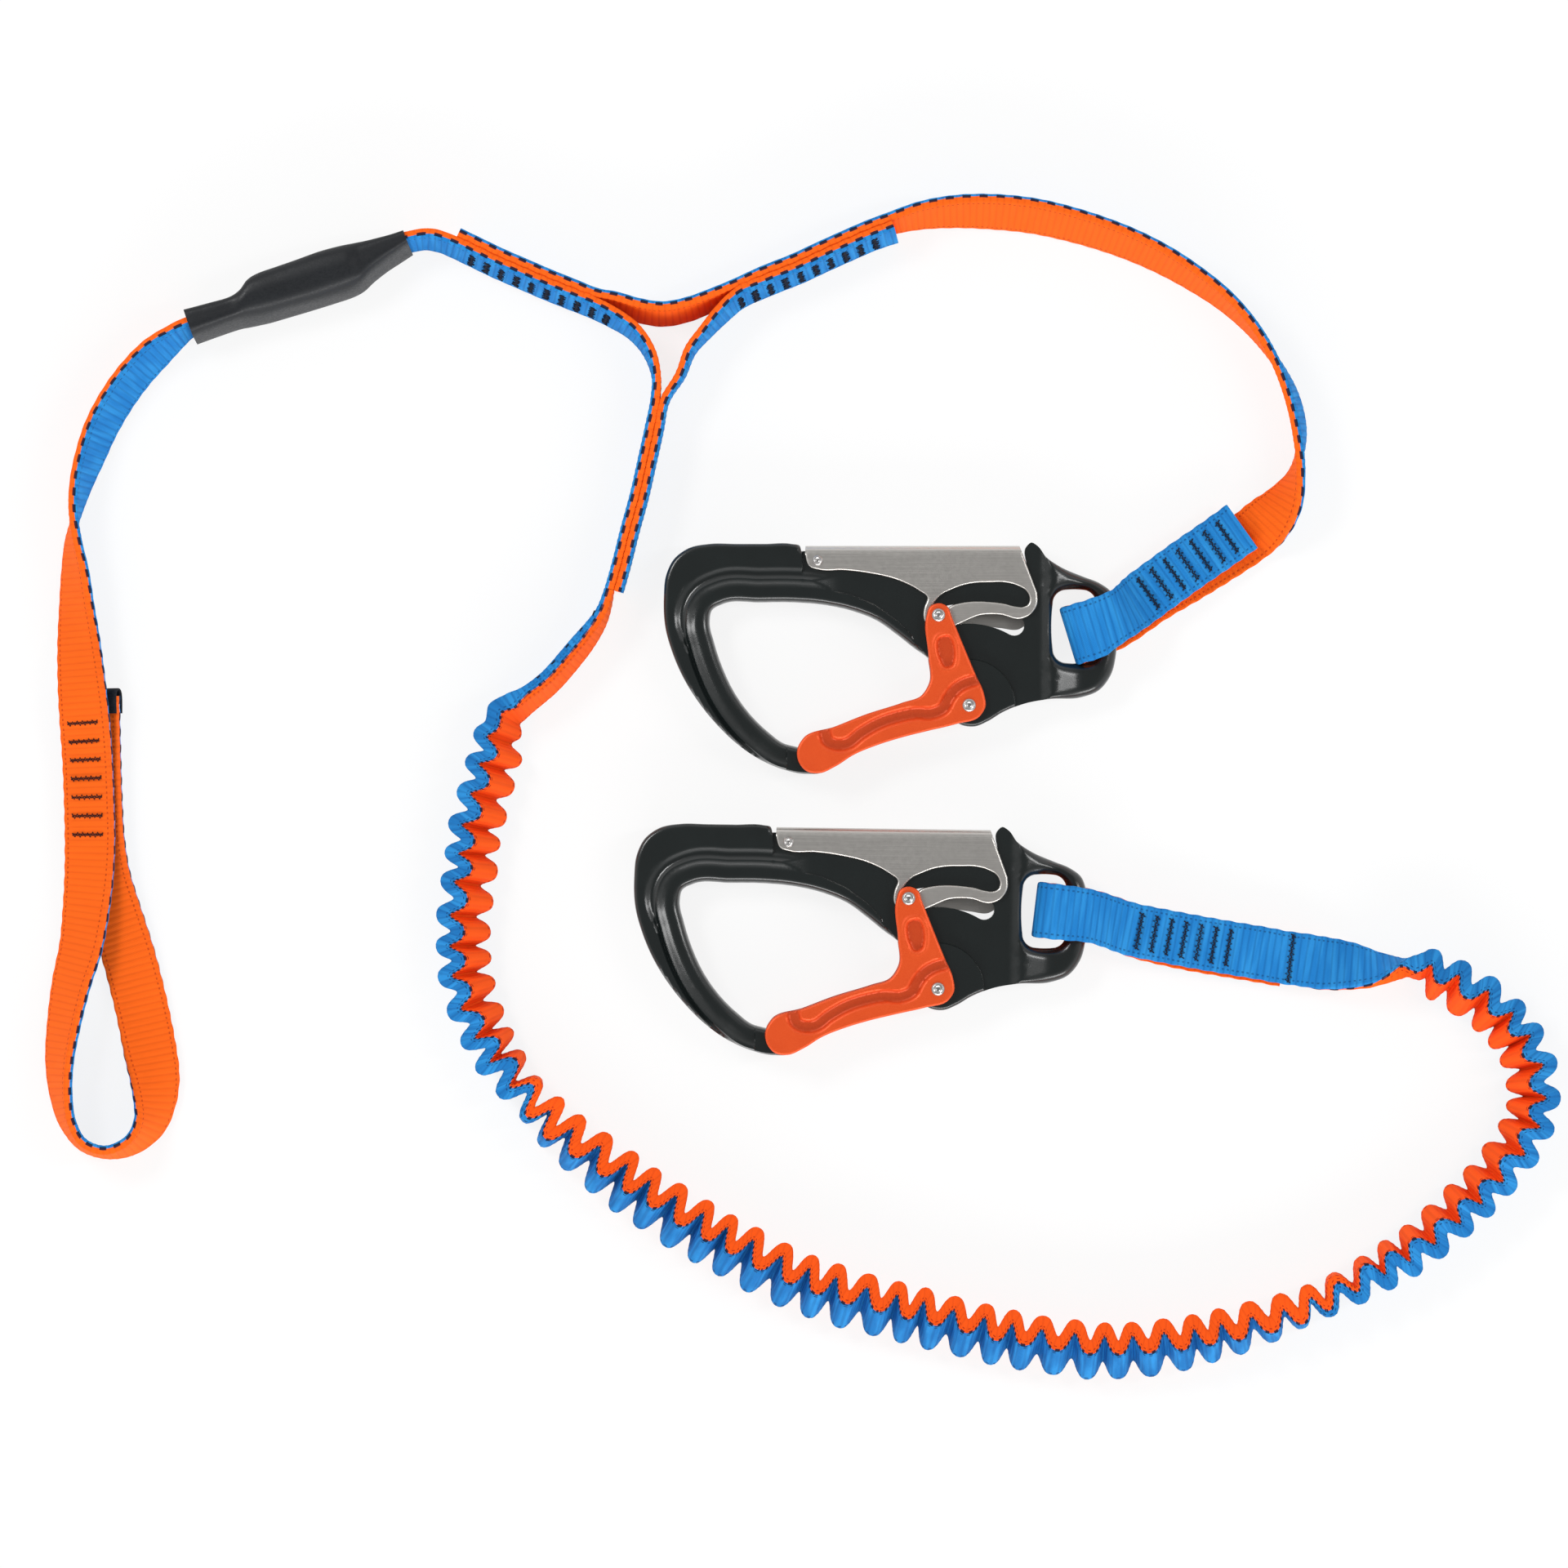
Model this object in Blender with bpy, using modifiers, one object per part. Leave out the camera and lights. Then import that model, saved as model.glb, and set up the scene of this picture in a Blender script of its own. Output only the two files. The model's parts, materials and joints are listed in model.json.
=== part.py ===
"""Elastic safety tether: a short and an elastic leg of webbing, each ending in a two-action clip."""

import math
from collections import namedtuple

import bmesh
import bpy
from mathutils import Matrix, Vector
from mathutils.kdtree import KDTree

# Units and the lay
MM = 0.001
PIXEL = 0.2355 * MM            # one photograph pixel on the floor the tether lies on
CLIPS_MIDDLE = (1071.67, 978.08)  # photograph point half way between the clips, the part's origin
GAP = 0.3 * MM                 # running and sewing clearance between neighbours

# Webbing
WEB_WIDTH = 15.5 * MM
WEB_THICK = 3.0 * MM
LEG_THICK = 3.0 * MM           # the elastic leg's webbing, a tube round its core
BORE_WIDTH = 13.0 * MM
BORE_THICK = 1.8 * MM
CORE_WIDTH = 11.0 * MM
CORE_THICK = 0.8 * MM
FLOOR_SPARE = 0.1 * MM         # keeps a twisting strap's corners above the floor
STATION = 9.0 * MM             # spacing of sections along a plain strap

# Gathers of the elastic leg
WAVES = 58
WAVE_HEIGHT = 6.0 * MM         # crest to trough of the webbing's middle
WAVE_RAMP = 1.5                # waves over which the gathers grow at either end
# One wave as (share of the pitch, share of the half height), webbing and its plainer bore
WEB_WAVE = [(0.075, 0.8), (0.25, 1.0), (0.425, 0.8), (0.575, -0.8), (0.75, -1.0), (0.925, -0.8)]
BORE_WAVE = [(0.13, 0.9), (0.37, 0.9), (0.63, -0.9), (0.87, -0.9)]

# Overload fold and its sleeve
FOLD_LENGTH = 29.0 * MM        # between the middles of its two bends
FOLD_CENTRE = (378.0, 350.0)
FOLD_SLOPE = 17.5
FOLD_LEAN = 12.0
SLEEVE_WALL = 0.6 * MM
SLEEVE_CORNER = 0.5 * MM
SLEEVE_LIFT = 1.2              # millimetres the strap is raised by the sleeve under it
# The strap's line into and out of the fold, along and across it, in millimetres
FOLD_ENTRY = [(-36.0, -1.6), (-28.0, -2.6), (-21.0, -3.3)]
FOLD_EXIT = [(21.0, 3.3), (27.0, 3.1), (32.0, 2.7)]
FOLD_REACH = 18.3              # half length of the three layers with their bends

# Thread
THREAD = 0.45 * MM             # radius of a bar tack's thread bundle

# Clip frame: origin at the gate pivot, X towards the eye, Y towards the spine, Z through it
CLIP_HEIGHT = 8.0 * MM         # clip's middle plane above the floor
CLIP_A = (1185.7, 864.0)       # gate pivots in the photograph
CLIP_B = (1147.7, 1210.0)
CLIP_A_TURN = 0.0
CLIP_B_TURN = -0.8
BODY_HALF = 5.0                # half thicknesses, in millimetres
RING_HALF = 3.0
SPINE_HALF = 3.5
TONGUE_HALF = 4.2
EDGE_ROUND = 1.2
GATE_EDGE = 0.6
PLATE_WALL = 1.2
CHEEK_WALL = 2.0
FIT = 0.3
PIN_RADIUS = 1.5
HINGE_PIN_RADIUS = 1.2
PIN_FIT = 0.3
HEAD_THICK = 0.4
HEAD_PROUD = 0.8               # head radius beyond its shaft
GATE_TRAVEL = 45.0
LOCK_TRAVEL = 8.0
LOCK_PIN = (-8.8, 25.9)
PLATE_PIN = (-43.5, 41.6)
ARC_SLOT_HALF = 2.0            # half width of the body's slot for the lock pin
ARC_SPARE = 2.0                # degrees of slot beyond the pin's travel, either way
CAM_HALF = 2.6                 # half width of the slot in the lock plate
BOSS_RADIUS = 13.2
EYE_BAR = (39.5, 22.7)
TURN_A = (36.0, 21.6)          # middles of the webbing's turns through the eyes
TURN_B = (33.9, 22.6)
SLANT_A = 12.0                 # and their slant to the clip
SLANT_B = -6.0
SKEW_A = 27.0                  # slant of the layer that leaves each turn
SKEW_B = -6.0
SLACK_A = 1.0 * MM             # by which the webbing's turns stand off the bows
SLACK_B = 0.2 * MM
RISE_A = 0.5 * MM              # and by which the layers part further beyond them
RISE_B = 0.5 * MM
EYE_LOW = (24.1, 12.2)
EYE_HIGH = (36.6, 33.2)
EYE_CORNER = 4.0
SPRING_WIRE = 0.35
SPRING_STEPS = 8               # points to a turn
GATE_SPRING_RADIUS = 2.45      # mean coil radius, and its lowest and highest wire
GATE_SPRING_Z = (1.9, 4.7)
GATE_SPRING_TURNS = 2.5
LOCK_SPRING_RADIUS = 2.1
LOCK_SPRING_Z = (0.8, 3.2)
LOCK_SPRING_TURNS = 2.0
WELL_ROOM = 0.85               # from a spring's mean radius to the wall of its pocket
THROUGH = 9.0                  # half height of a cutter that passes right through a clip
OUTSIDE = 60.0                 # beyond a clip's outline
ROUND_STEPS = 12

PLATE_HALF = SPINE_HALF + FIT + PLATE_WALL
CHEEK_INNER = max(PLATE_HALF, BODY_HALF) + FIT
CHEEK_OUTER = CHEEK_INNER + CHEEK_WALL

Station = namedtuple("Station", "point across normal")


# Scene
def empty_scene():
    for item in list(bpy.data.objects):
        bpy.data.objects.remove(item, do_unlink=True)


def collection(name):
    group = bpy.data.collections.new(name)
    bpy.context.scene.collection.children.link(group)
    return group


def material(name, colour, roughness, metallic=0.0):
    made = bpy.data.materials.new(name)
    made.use_nodes = True
    shader = made.node_tree.nodes["Principled BSDF"]
    shader.inputs["Base Color"].default_value = (*colour, 1.0)
    shader.inputs["Roughness"].default_value = roughness
    shader.inputs["Metallic"].default_value = metallic
    return made


def put(name, data, group, finish):
    item = bpy.data.objects.new(name, data)
    group.objects.link(item)
    if finish is not None:
        data.materials.append(finish)
    return item


def as_mesh(curve_item, group):
    """Turn a curve object into a closed mesh object of the same name and place."""
    bpy.context.view_layer.update()
    graph = bpy.context.evaluated_depsgraph_get()
    mesh = bpy.data.meshes.new_from_object(curve_item.evaluated_get(graph))
    work = bmesh.new()
    work.from_mesh(mesh)
    bmesh.ops.remove_doubles(work, verts=work.verts, dist=1e-6)
    bmesh.ops.recalc_face_normals(work, faces=work.faces)
    work.to_mesh(mesh)
    work.free()
    name = curve_item.name
    place = curve_item.matrix_world.copy()
    finish = curve_item.data.materials[0] if curve_item.data.materials else None
    bpy.data.objects.remove(curve_item, do_unlink=True)
    mesh.materials.clear()
    item = put(name, mesh, group, finish)
    item.matrix_world = place
    return item


def boolean(item, cutter, operation="DIFFERENCE"):
    change = item.modifiers.new(operation.title() + "_" + cutter.name, "BOOLEAN")
    change.operation = operation
    change.solver = "EXACT"
    change.object = cutter
    cutter.hide_render = True
    cutter.display_type = "WIRE"


# Webbing
def floor_point(px, py, z=0.0):
    return Vector(((px - CLIPS_MIDDLE[0]) * PIXEL, (CLIPS_MIDDLE[1] - py) * PIXEL, z))


def rest_height(lean, width, thick):
    angle = math.radians(lean)
    return width / 2 * abs(math.cos(angle)) + thick / 2 * abs(math.sin(angle)) + FLOOR_SPARE


def spline(a, b, c, d, t):
    """Value and slope, between b and c, of a smooth curve through four values in a row."""
    value = 0.5 * (2 * b + (c - a) * t + (2 * a - 5 * b + 4 * c - d) * t * t
                   + (3 * b - a - 3 * c + d) * t ** 3)
    slope = 0.5 * ((c - a) + 2 * (2 * a - 5 * b + 4 * c - d) * t
                   + 3 * (3 * b - a - 3 * c + d) * t * t)
    return value, slope


def sample(route, step, lead=0, trail=0):
    """Floor points, leans, lifts and directions about every step along a smooth line through
    the route's rows (px, py, lean, lift); its first lead and last trail rows only steer it."""
    rows = [(*floor_point(r[0], r[1])[:2], r[2], r[3] * MM if len(r) > 3 else 0.0) for r in route]
    last = len(rows) - 1
    marks = []
    for i in range(lead, last - trail):
        parts = max(1, round(math.dist(rows[i][:2], rows[i + 1][:2]) / step))
        marks += [(i, k / parts) for k in range(parts)]
    marks.append((last - trail - 1, 1.0))
    out = []
    for i, t in marks:
        four = (rows[max(i - 1, 0)], rows[i], rows[i + 1], rows[min(i + 2, last)])
        (x, dx), (y, dy), (lean, _), (lift, _) = (spline(*(row[j] for row in four), t)
                                                  for j in range(4))
        out.append((Vector((x, y, 0)), lean, lift, Vector((dx, dy, 0)).normalized()))
    return out


def directions(points):
    last = len(points) - 1
    return [(points[min(i + 1, last)] - points[max(i - 1, 0)]).normalized()
            for i in range(len(points))]


def leaning(direction, lean):
    """Width and face directions of a strap that runs along direction on its edge."""
    side = Vector((0, 0, 1)).cross(direction).normalized()
    angle = math.radians(lean)
    across = Vector((0, 0, math.cos(angle))) + side * math.sin(angle)
    normal = side * math.cos(angle) - Vector((0, 0, math.sin(angle)))
    return across, normal


def lay(route, thick=WEB_THICK, step=STATION, lead=0, trail=0):
    stations = []
    for point, lean, lift, direction in sample(route, step, lead, trail):
        across, normal = leaning(direction, lean)
        point.z = rest_height(lean, WEB_WIDTH, thick) + lift
        stations.append(Station(point, across, normal))
    return stations


def beside(stations, distance):
    return [Station(s.point + s.normal * distance, s.across, s.normal) for s in stations]


def turned(stations):
    """The same stretch walked the other way."""
    return [Station(s.point, s.across, -s.normal) for s in reversed(stations)]


def standing(points, across):
    """Stations along points for a strap whose width keeps one direction."""
    return [Station(p, across, across.cross(d).normalized())
            for p, d in zip(points, directions(points))]


def ribbon(name, stations, width, thick, group, finish):
    """An open strip between two edge lines, thickened to webbing."""
    work = bmesh.new()
    previous = None
    for s in stations:
        low = work.verts.new(s.point - s.across * width / 2)
        high = work.verts.new(s.point + s.across * width / 2)
        if previous:
            work.faces.new((previous[0], low, high, previous[1]))
        previous = (low, high)
    mesh = bpy.data.meshes.new(name)
    work.to_mesh(mesh)
    work.free()
    item = put(name, mesh, group, finish)
    shell = item.modifiers.new("Thickness", "SOLIDIFY")
    shell.thickness = thick
    shell.offset = 0.0
    shell.use_even_offset = True
    return item


def tube(name, points, radius, group, finish, resolution=1):
    data = bpy.data.curves.new(name, "CURVE")
    data.dimensions = "3D"
    data.bevel_depth = radius
    data.bevel_resolution = resolution
    data.use_fill_caps = True
    spline = data.splines.new("POLY")
    spline.points.add(len(points) - 1)
    for knot, point in zip(spline.points, points):
        knot.co = (*point, 1.0)
    return put(name, data, group, finish)


def at(stations, distance):
    """The station at a distance along a stretch."""
    for a, b in zip(stations, stations[1:]):
        run = (b.point - a.point).length
        if distance <= run:
            t = distance / run
            return Station(a.point.lerp(b.point, t), a.across.lerp(b.across, t).normalized(),
                           a.normal.lerp(b.normal, t).normalized())
        distance -= run
    return stations[-1]


def distance_to(stations, px, py, after=0.0):
    """Distance along a stretch to where it passes nearest a photograph point."""
    mark = floor_point(px, py)
    walked, best = 0.0, None
    for a, b in zip(stations, stations[1:]):
        start = Vector((a.point.x, a.point.y, 0))
        end = Vector((b.point.x, b.point.y, 0))
        run = (b.point - a.point).length
        share = max(0.0, min(1.0, (mark - start).dot(end - start) / (end - start).length_squared))
        off = (start.lerp(end, share) - mark).length
        if walked >= after and (best is None or off < best[0]):
            best = (off, walked + run * share)
        walked += run
    return best[1]


def bar_tack(name, stations, start, pitch, bars, face, thick, length):
    """Bars of thread across a strap, joined at alternate ends, lying on one of its faces."""
    lift = (thick / 2 + GAP + THREAD) * face
    points = []
    for k in range(bars):
        s = at(stations, start + pitch * k)
        way = 1 if k % 2 else -1
        points.append(s.point + s.normal * lift - s.across * length / 2 * way)
        points.append(s.point + s.normal * lift + s.across * length / 2 * way)
    return tube(name, points, THREAD, TETHER, FINISHES["thread"])


def least_gap(stations, width, thick, apart):
    """Least distance between surface points of a strap that lie far apart along it."""
    marks = []
    walked = 0.0
    for a, b in zip(stations, stations[1:]):
        run = b.point - a.point
        for part in (0.0, 1 / 3, 2 / 3):
            across = a.across.lerp(b.across, part)
            face = across.cross(run).normalized() * thick / 2
            marks += [(a.point + run * part + across * width * place + face * side,
                       walked + run.length * part)
                      for place in (-0.5, -0.25, 0.0, 0.25, 0.5) for side in (-1, 1)]
        walked += run.length
    tree = KDTree(len(marks))
    for index, (point, _) in enumerate(marks):
        tree.insert(point, index)
    tree.balance()
    return min((distance for index, (point, way) in enumerate(marks)
                for _, other, distance in tree.find_range(point, thick)
                if abs(marks[other][1] - way) > apart), default=thick)


def gathers(wave):
    """The gathered stretch: its line with waves standing across its faces."""
    rows = sample([LEG_LEAD[-1]] + LEG_GATHERS + [LEG_FLAT[0]], 2 * MM, 1, 1)
    runs = [0.0]
    for a, b in zip(rows, rows[1:]):
        runs.append(runs[-1] + (b[0] - a[0]).length)
    pitch = runs[-1] / WAVES
    out = []
    i = 0
    for number in range(WAVES):
        for share, height in wave:
            mark = (number + share) * pitch
            while runs[i + 1] < mark:
                i += 1
            t = (mark - runs[i]) / (runs[i + 1] - runs[i])
            lean = rows[i][1] + (rows[i + 1][1] - rows[i][1]) * t
            across, normal = leaning(rows[i][3].lerp(rows[i + 1][3], t), lean)
            grown = min(1.0, (number + share + 0.3) / WAVE_RAMP,
                        (WAVES - number - share + 0.3) / WAVE_RAMP)
            swing = WAVE_HEIGHT / 2 * grown
            middle = rows[i][0].lerp(rows[i + 1][0], t)
            middle.z = (rest_height(lean, WEB_WIDTH, LEG_THICK)
                        + swing * abs(math.sin(math.radians(lean))))
            out.append(Station(middle + normal * swing * height, across, normal))
    return out


# Routes: photograph point, lean of the strap from upright in degrees, lift in millimetres
HAND_LOOP = [(117, 853, -110, 1.1), (118, 915, -110, 0.1), (120, 980, -110), (123, 1030, -110),
             (129, 1072, -107), (141, 1115, -102), (158, 1170, -96), (174, 1234, -88),
             (185, 1288, -74), (191, 1322, -58), (191, 1350, -42), (185, 1376, -28),
             (166, 1399, -15), (132, 1410, -7), (103, 1400, -8), (86, 1376, -13),
             (77, 1340, -20), (75, 1300, -27), (80, 1255, -34), (89, 1205, -42),
             (98, 1158, -50, 0.4), (103, 1115, -57, 1.2), (106, 1070, -64, 2.2),
             (107, 1030, -69, 2.5), (106, 980, -70, 2.5), (104, 930, -70, 2.7),
             (101, 880, -69, 5.0), (99, 840, -63, 5.0), (96, 790, -52, 2.0), (94, 745, -38),
             (93, 700, -26), (91, 660, -12), (93, 625, 3), (99, 592, 14), (108, 559, 22),
             (120, 524, 27), (139, 488, 29), (163, 456, 29), (193, 427, 26, 0.6),
             (214, 412, 18, 1.1)]
ARM_LEFT_LEAD = [(526, 295, 13, 1.1), (541, 298, 13, 0.9)]
ARM_LEFT = [(556, 304, 13, 0.8), (579, 315, 13, 0.8), (608, 329, 13, 0.8), (638, 342, 13, 0.8),
            (668, 355, 13, 0.8), (698, 367, 13, 0.8), (726, 378, 13, 0.8)]
ARM_TO_STEM = [(752, 391, 12, 0.5), (777, 408, 9), (795, 432, 5), (804, 462, 1)]
STEM = [(803, 490, 0), (796, 525, 0), (787, 566, 0), (778, 606, 0), (766, 650, 0),
        (756, 690, 0), (747, 722, 0)]
SHORT_BRIDGE = [(752, 372, 14), (780, 381, 16), (812, 386, 17), (844, 380, 16), (872, 369, 14)]
ARM_RIGHT = [(900, 357, 13), (935, 341, 13), (975, 325, 13), (1005, 311, 13), (1034, 298, 13),
             (1064, 285, 13), (1092, 275, 14)]
SHORT_ARC = [(1125, 266, 20), (1165, 261, 26), (1215, 261, 30), (1270, 267, 30),
             (1346, 287, 27), (1422, 319, 22), (1499, 370, 12), (1550, 427, 0), (1580, 486, -10),
             (1590, 536, -8), (1586, 580, 8), (1572, 612, 36), (1552, 637, 66),
             (1530, 657, 90, 0.1)]
SHORT_LOWER = [(1500, 677, 90, 0.4), (1453, 706, 90, 0.7), (1412, 730, 90, 1.0)]
SHORT_UPPER = [(1402, 729, -90, 5.5), (1453, 692, -90, 4.8), (1485, 670, -90, 4.3),
               (1520, 645, -90, 4.1)]
BRIDGE_TURN = [(883, 387, -10), (864, 408, -6), (846, 430, -3), (834, 460, -1)]
LEG_LEAD = [(746.6, 723.4, 0), (740, 747, 0), (733, 766, -10), (712, 797, -22),
            (680, 832, -26), (654, 852, -26), (634, 863, -28)]
LEG_GATHERS = [(617, 876, -30), (603, 910, -33), (592, 948, -34), (582, 984, -34),
               (573, 1022, -34), (569, 1059, -34), (563, 1097, -34), (560, 1133, -34),
               (560, 1173, -33), (566, 1210, -32), (579, 1246, -28), (597, 1281, -20),
               (621, 1313, -10), (647, 1341, 0), (676, 1368, 10), (706, 1393, 20),
               (738, 1416, 27), (770, 1439, 32), (801, 1460, 35), (849, 1490, 36),
               (917, 1528, 36), (985, 1561, 36), (1061, 1585, 36), (1137, 1604, 36),
               (1212, 1623, 36), (1288, 1637, 36), (1350, 1643, 36), (1404, 1641, 34),
               (1463, 1632, 28), (1520, 1619, 20), (1576, 1603, 10), (1633, 1583, 0),
               (1690, 1556, -10), (1741, 1525, -18), (1783, 1490, -22), (1824, 1451, -24),
               (1850, 1420, -25), (1871, 1387, -26), (1882, 1354, -27), (1882, 1321, -28),
               (1872, 1285, -29), (1853, 1254, -30), (1826, 1226, -29), (1793, 1206, -26),
               (1762, 1195, -20), (1738, 1190, -8)]
LEG_FLAT = [(1724, 1189, 5), (1702, 1187, 20), (1676, 1185, 38), (1648, 1182, 58, 0.3),
            (1618, 1179, 78, 1.8), (1594, 1175, 89, 3.0), (1578, 1173, 90, 3.5)]
LEG_UPPER = [(1545, 1167, 90, 3.6), (1503, 1160, 90, 4.0), (1447, 1150, 90, 4.9),
             (1390, 1139, 90, 5.4)]
LEG_LOWER = [(1400, 1141, -90, 1.0), (1447, 1150, -90, 0.7), (1503, 1160, -90, 0.4),
             (1545, 1167, -90, 0.2), (1560, 1170, -90, 0.1)]


def clip_matrix(pivot, turn):
    return (Matrix.Translation(floor_point(*pivot, CLIP_HEIGHT))
            @ Matrix.Rotation(math.radians(turn), 4, "Z"))


def heading(degrees):
    return Vector((math.cos(math.radians(degrees)), math.sin(math.radians(degrees)), 0))


def eye_turn(pivot, turn, middle, slant, skew, slack, spread, thick, upward, steps=6):
    """The webbing's half turn over an eye's bow, from one layer to the other."""
    place = clip_matrix(pivot, turn)
    out_of = heading(turn + slant)
    side = Vector((0, 0, 1)).cross(out_of)
    centre = place @ Vector((middle[0] * MM, middle[1] * MM, 0))
    radius = RING_HALF * MM + GAP + slack + thick / 2
    sign = 1 if upward else -1
    rounds = []
    for k in range(steps + 1):
        angle = math.pi * k / steps
        rounds.append(centre - out_of * radius * math.sin(angle)
                      - Vector((0, 0, sign * radius * math.cos(angle))))
    span = (EYE_BAR[0] + RING_HALF + FIT - middle[0]) * MM
    rise = Vector((0, 0, sign * spread))
    before = rounds[0] + out_of * span - rise
    after = rounds[-1] + heading(turn + skew) * span + rise
    return standing([before] + rounds + [after], -side)


# Sheet-like solids with an outline
def outline_solid(name, loops, half, group, finish=None, edge=0.0, corners=(), detail=1):
    """A flat outline in millimetres, smooth except at its named corners, made 2 x half thick."""
    data = bpy.data.curves.new(name, "CURVE")
    data.dimensions = "2D"
    data.fill_mode = "BOTH"
    data.extrude = (half - edge) * MM
    data.bevel_depth = edge * MM
    data.bevel_resolution = 0
    data.offset = -edge * MM
    data.resolution_u = detail
    for number, loop in enumerate(loops):
        spline = data.splines.new("BEZIER")
        spline.bezier_points.add(len(loop) - 1)
        sharp = corners[number] if number < len(corners) else ()
        for index, (knot, point) in enumerate(zip(spline.bezier_points, loop)):
            knot.co = (point[0] * MM, point[1] * MM, 0.0)
            kind = "VECTOR" if sharp == "all" or index in sharp else "AUTO"
            knot.handle_left_type = kind
            knot.handle_right_type = kind
        spline.use_cyclic_u = True
    return as_mesh(put(name, data, group, finish), group)


def box(name, low, high, group):
    size = [(b - a) * MM for a, b in zip(low, high)]
    centre = [(a + b) / 2 * MM for a, b in zip(low, high)]
    mesh = bpy.data.meshes.new(name)
    work = bmesh.new()
    bmesh.ops.create_cube(work, size=1.0)
    bmesh.ops.scale(work, vec=size, verts=work.verts)
    bmesh.ops.translate(work, vec=centre, verts=work.verts)
    work.to_mesh(mesh)
    work.free()
    return put(name, mesh, group, None)


def cylinder(name, centre, radius, low, high, group, finish=None):
    mesh = bpy.data.meshes.new(name)
    work = bmesh.new()
    bmesh.ops.create_cone(work, cap_ends=True, segments=ROUND_STEPS, radius1=radius * MM,
                          radius2=radius * MM, depth=(high - low) * MM)
    bmesh.ops.translate(work, vec=(centre[0] * MM, centre[1] * MM, (low + high) / 2 * MM),
                        verts=work.verts)
    work.to_mesh(mesh)
    work.free()
    return put(name, mesh, group, finish)


def arc_band(centre, radius, half, start, end, steps=10):
    """Outline of a slot that follows an arc, with round ends, angles in degrees."""
    points = []
    for side, a, b in ((half, start, end), (-half, end, start)):
        for k in range(steps + 1):
            angle = math.radians(a + (b - a) * k / steps)
            points.append((centre[0] + (radius + side) * math.cos(angle),
                           centre[1] + (radius + side) * math.sin(angle)))
        last = math.radians(b)
        middle = (centre[0] + radius * math.cos(last), centre[1] + radius * math.sin(last))
        for k in range(1, 4):
            angle = last + (0 if side > 0 else math.pi) - math.pi * k / 4
            points.append((middle[0] + half * math.cos(angle), middle[1] + half * math.sin(angle)))
    return points


def rotated(point, centre, degrees):
    angle = math.radians(degrees)
    x, y = point[0] - centre[0], point[1] - centre[1]
    return (centre[0] + x * math.cos(angle) - y * math.sin(angle),
            centre[1] + x * math.sin(angle) + y * math.cos(angle))


def band(route, half):
    """Outline of a constant width slot along a route, with round ends."""
    points = [Vector(p) for p in route]
    ways = directions(points)
    left = [p + Vector((-w.y, w.x)) * half for p, w in zip(points, ways)]
    right = [p - Vector((-w.y, w.x)) * half for p, w in zip(points, ways)]

    def cap(middle, way):
        side = Vector((-way.y, way.x))
        return [middle + side * half * math.cos(a) + way * half * math.sin(a)
                for a in (math.pi / 4, math.pi / 2, 3 * math.pi / 4)]
    loop = left + cap(points[-1], ways[-1]) + right[::-1] + cap(points[0], -ways[0])
    return [tuple(p) for p in loop]


# Clip outlines, in millimetres in the clip's frame
HOOK_OUTER = [(-48.2, 44.3), (-48.6, 45.8), (-51.0, 46.4), (-74.5, 46.4), (-80.7, 45.1),
              (-84.8, 42.0), (-87.0, 37.5), (-87.7, 31.0), (-87.2, 22.0), (-85.3, 15.3),
              (-82.4, 8.5), (-78.0, 1.3), (-72.5, -5.5), (-66.5, -11.2), (-60.0, -15.6),
              (-53.5, -18.4), (-46.6, -19.7)]
HOOK_TONGUE = [(-41.6, -18.9), (-40.2, -16.2), (-42.2, -13.4)]
HOOK_INNER = [(-49.5, -11.9), (-53.2, -10.9), (-57.5, -7.8), (-62.5, -3.0), (-67.2, 3.4),
              (-70.8, 10.8), (-73.2, 18.0), (-74.5, 24.0), (-73.8, 27.4), (-70.6, 29.2),
              (-60.0, 29.6), (-50.0, 29.6), (-41.0, 28.8), (-33.0, 27.0), (-26.5, 24.4),
              (-20.5, 20.2), (-15.8, 16.5), (-11.8, 13.6)]
PIVOT_LOBE = [(-8.6, 9.0), (-7.2, 3.5), (-5.8, -1.5), (-3.0, -5.2), (1.5, -6.1), (5.4, -4.6),
              (9.7, -2.0), (16.4, 0.6), (23.2, 1.8)]
RING_OUTER = [(32.3, 2.3), (37.4, 4.3), (40.8, 8.6), (42.4, 15.0), (42.5, 22.5), (42.3, 29.0),
              (40.8, 32.8), (37.6, 35.2), (32.8, 37.1), (26.0, 40.0), (22.2, 42.6)]
NOSE_AREA = [(-52.4, -25.0), (-52.4, -8.0), (-30.0, -8.0), (-30.0, -25.0)]
BOW = [(26.5, 37.0), (31.0, 36.4), (35.0, 34.8), (38.2, 32.0), (39.5, 28.0), (39.5, 22.0),
       (39.4, 15.0), (38.2, 10.2), (35.4, 7.0), (31.0, 5.6), (26.5, 5.4)]
BOW_START = 31.5
BOW_STEPS = 3
HORN = [(19.6, 45.9), (17.9, 46.8), (16.5, 45.6), (16.6, 38.5), (15.0, 35.2), (-43.0, 44.3)]
PLATE = [(-47.0, 45.8), (14.5, 45.8), (19.6, 32.4), (19.6, 29.0), (17.4, 25.9), (14.6, 24.8),
         (9.0, 25.3), (3.5, 25.4), (-3.7, 23.0), (-7.4, 21.7), (-11.0, 22.2), (-13.0, 24.8),
         (-12.9, 28.0), (-12.0, 31.0), (-14.6, 33.1), (-20.5, 36.0), (-28.4, 37.9),
         (-36.0, 38.8), (-43.0, 38.9), (-46.0, 40.0), (-47.0, 42.6)]
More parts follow.
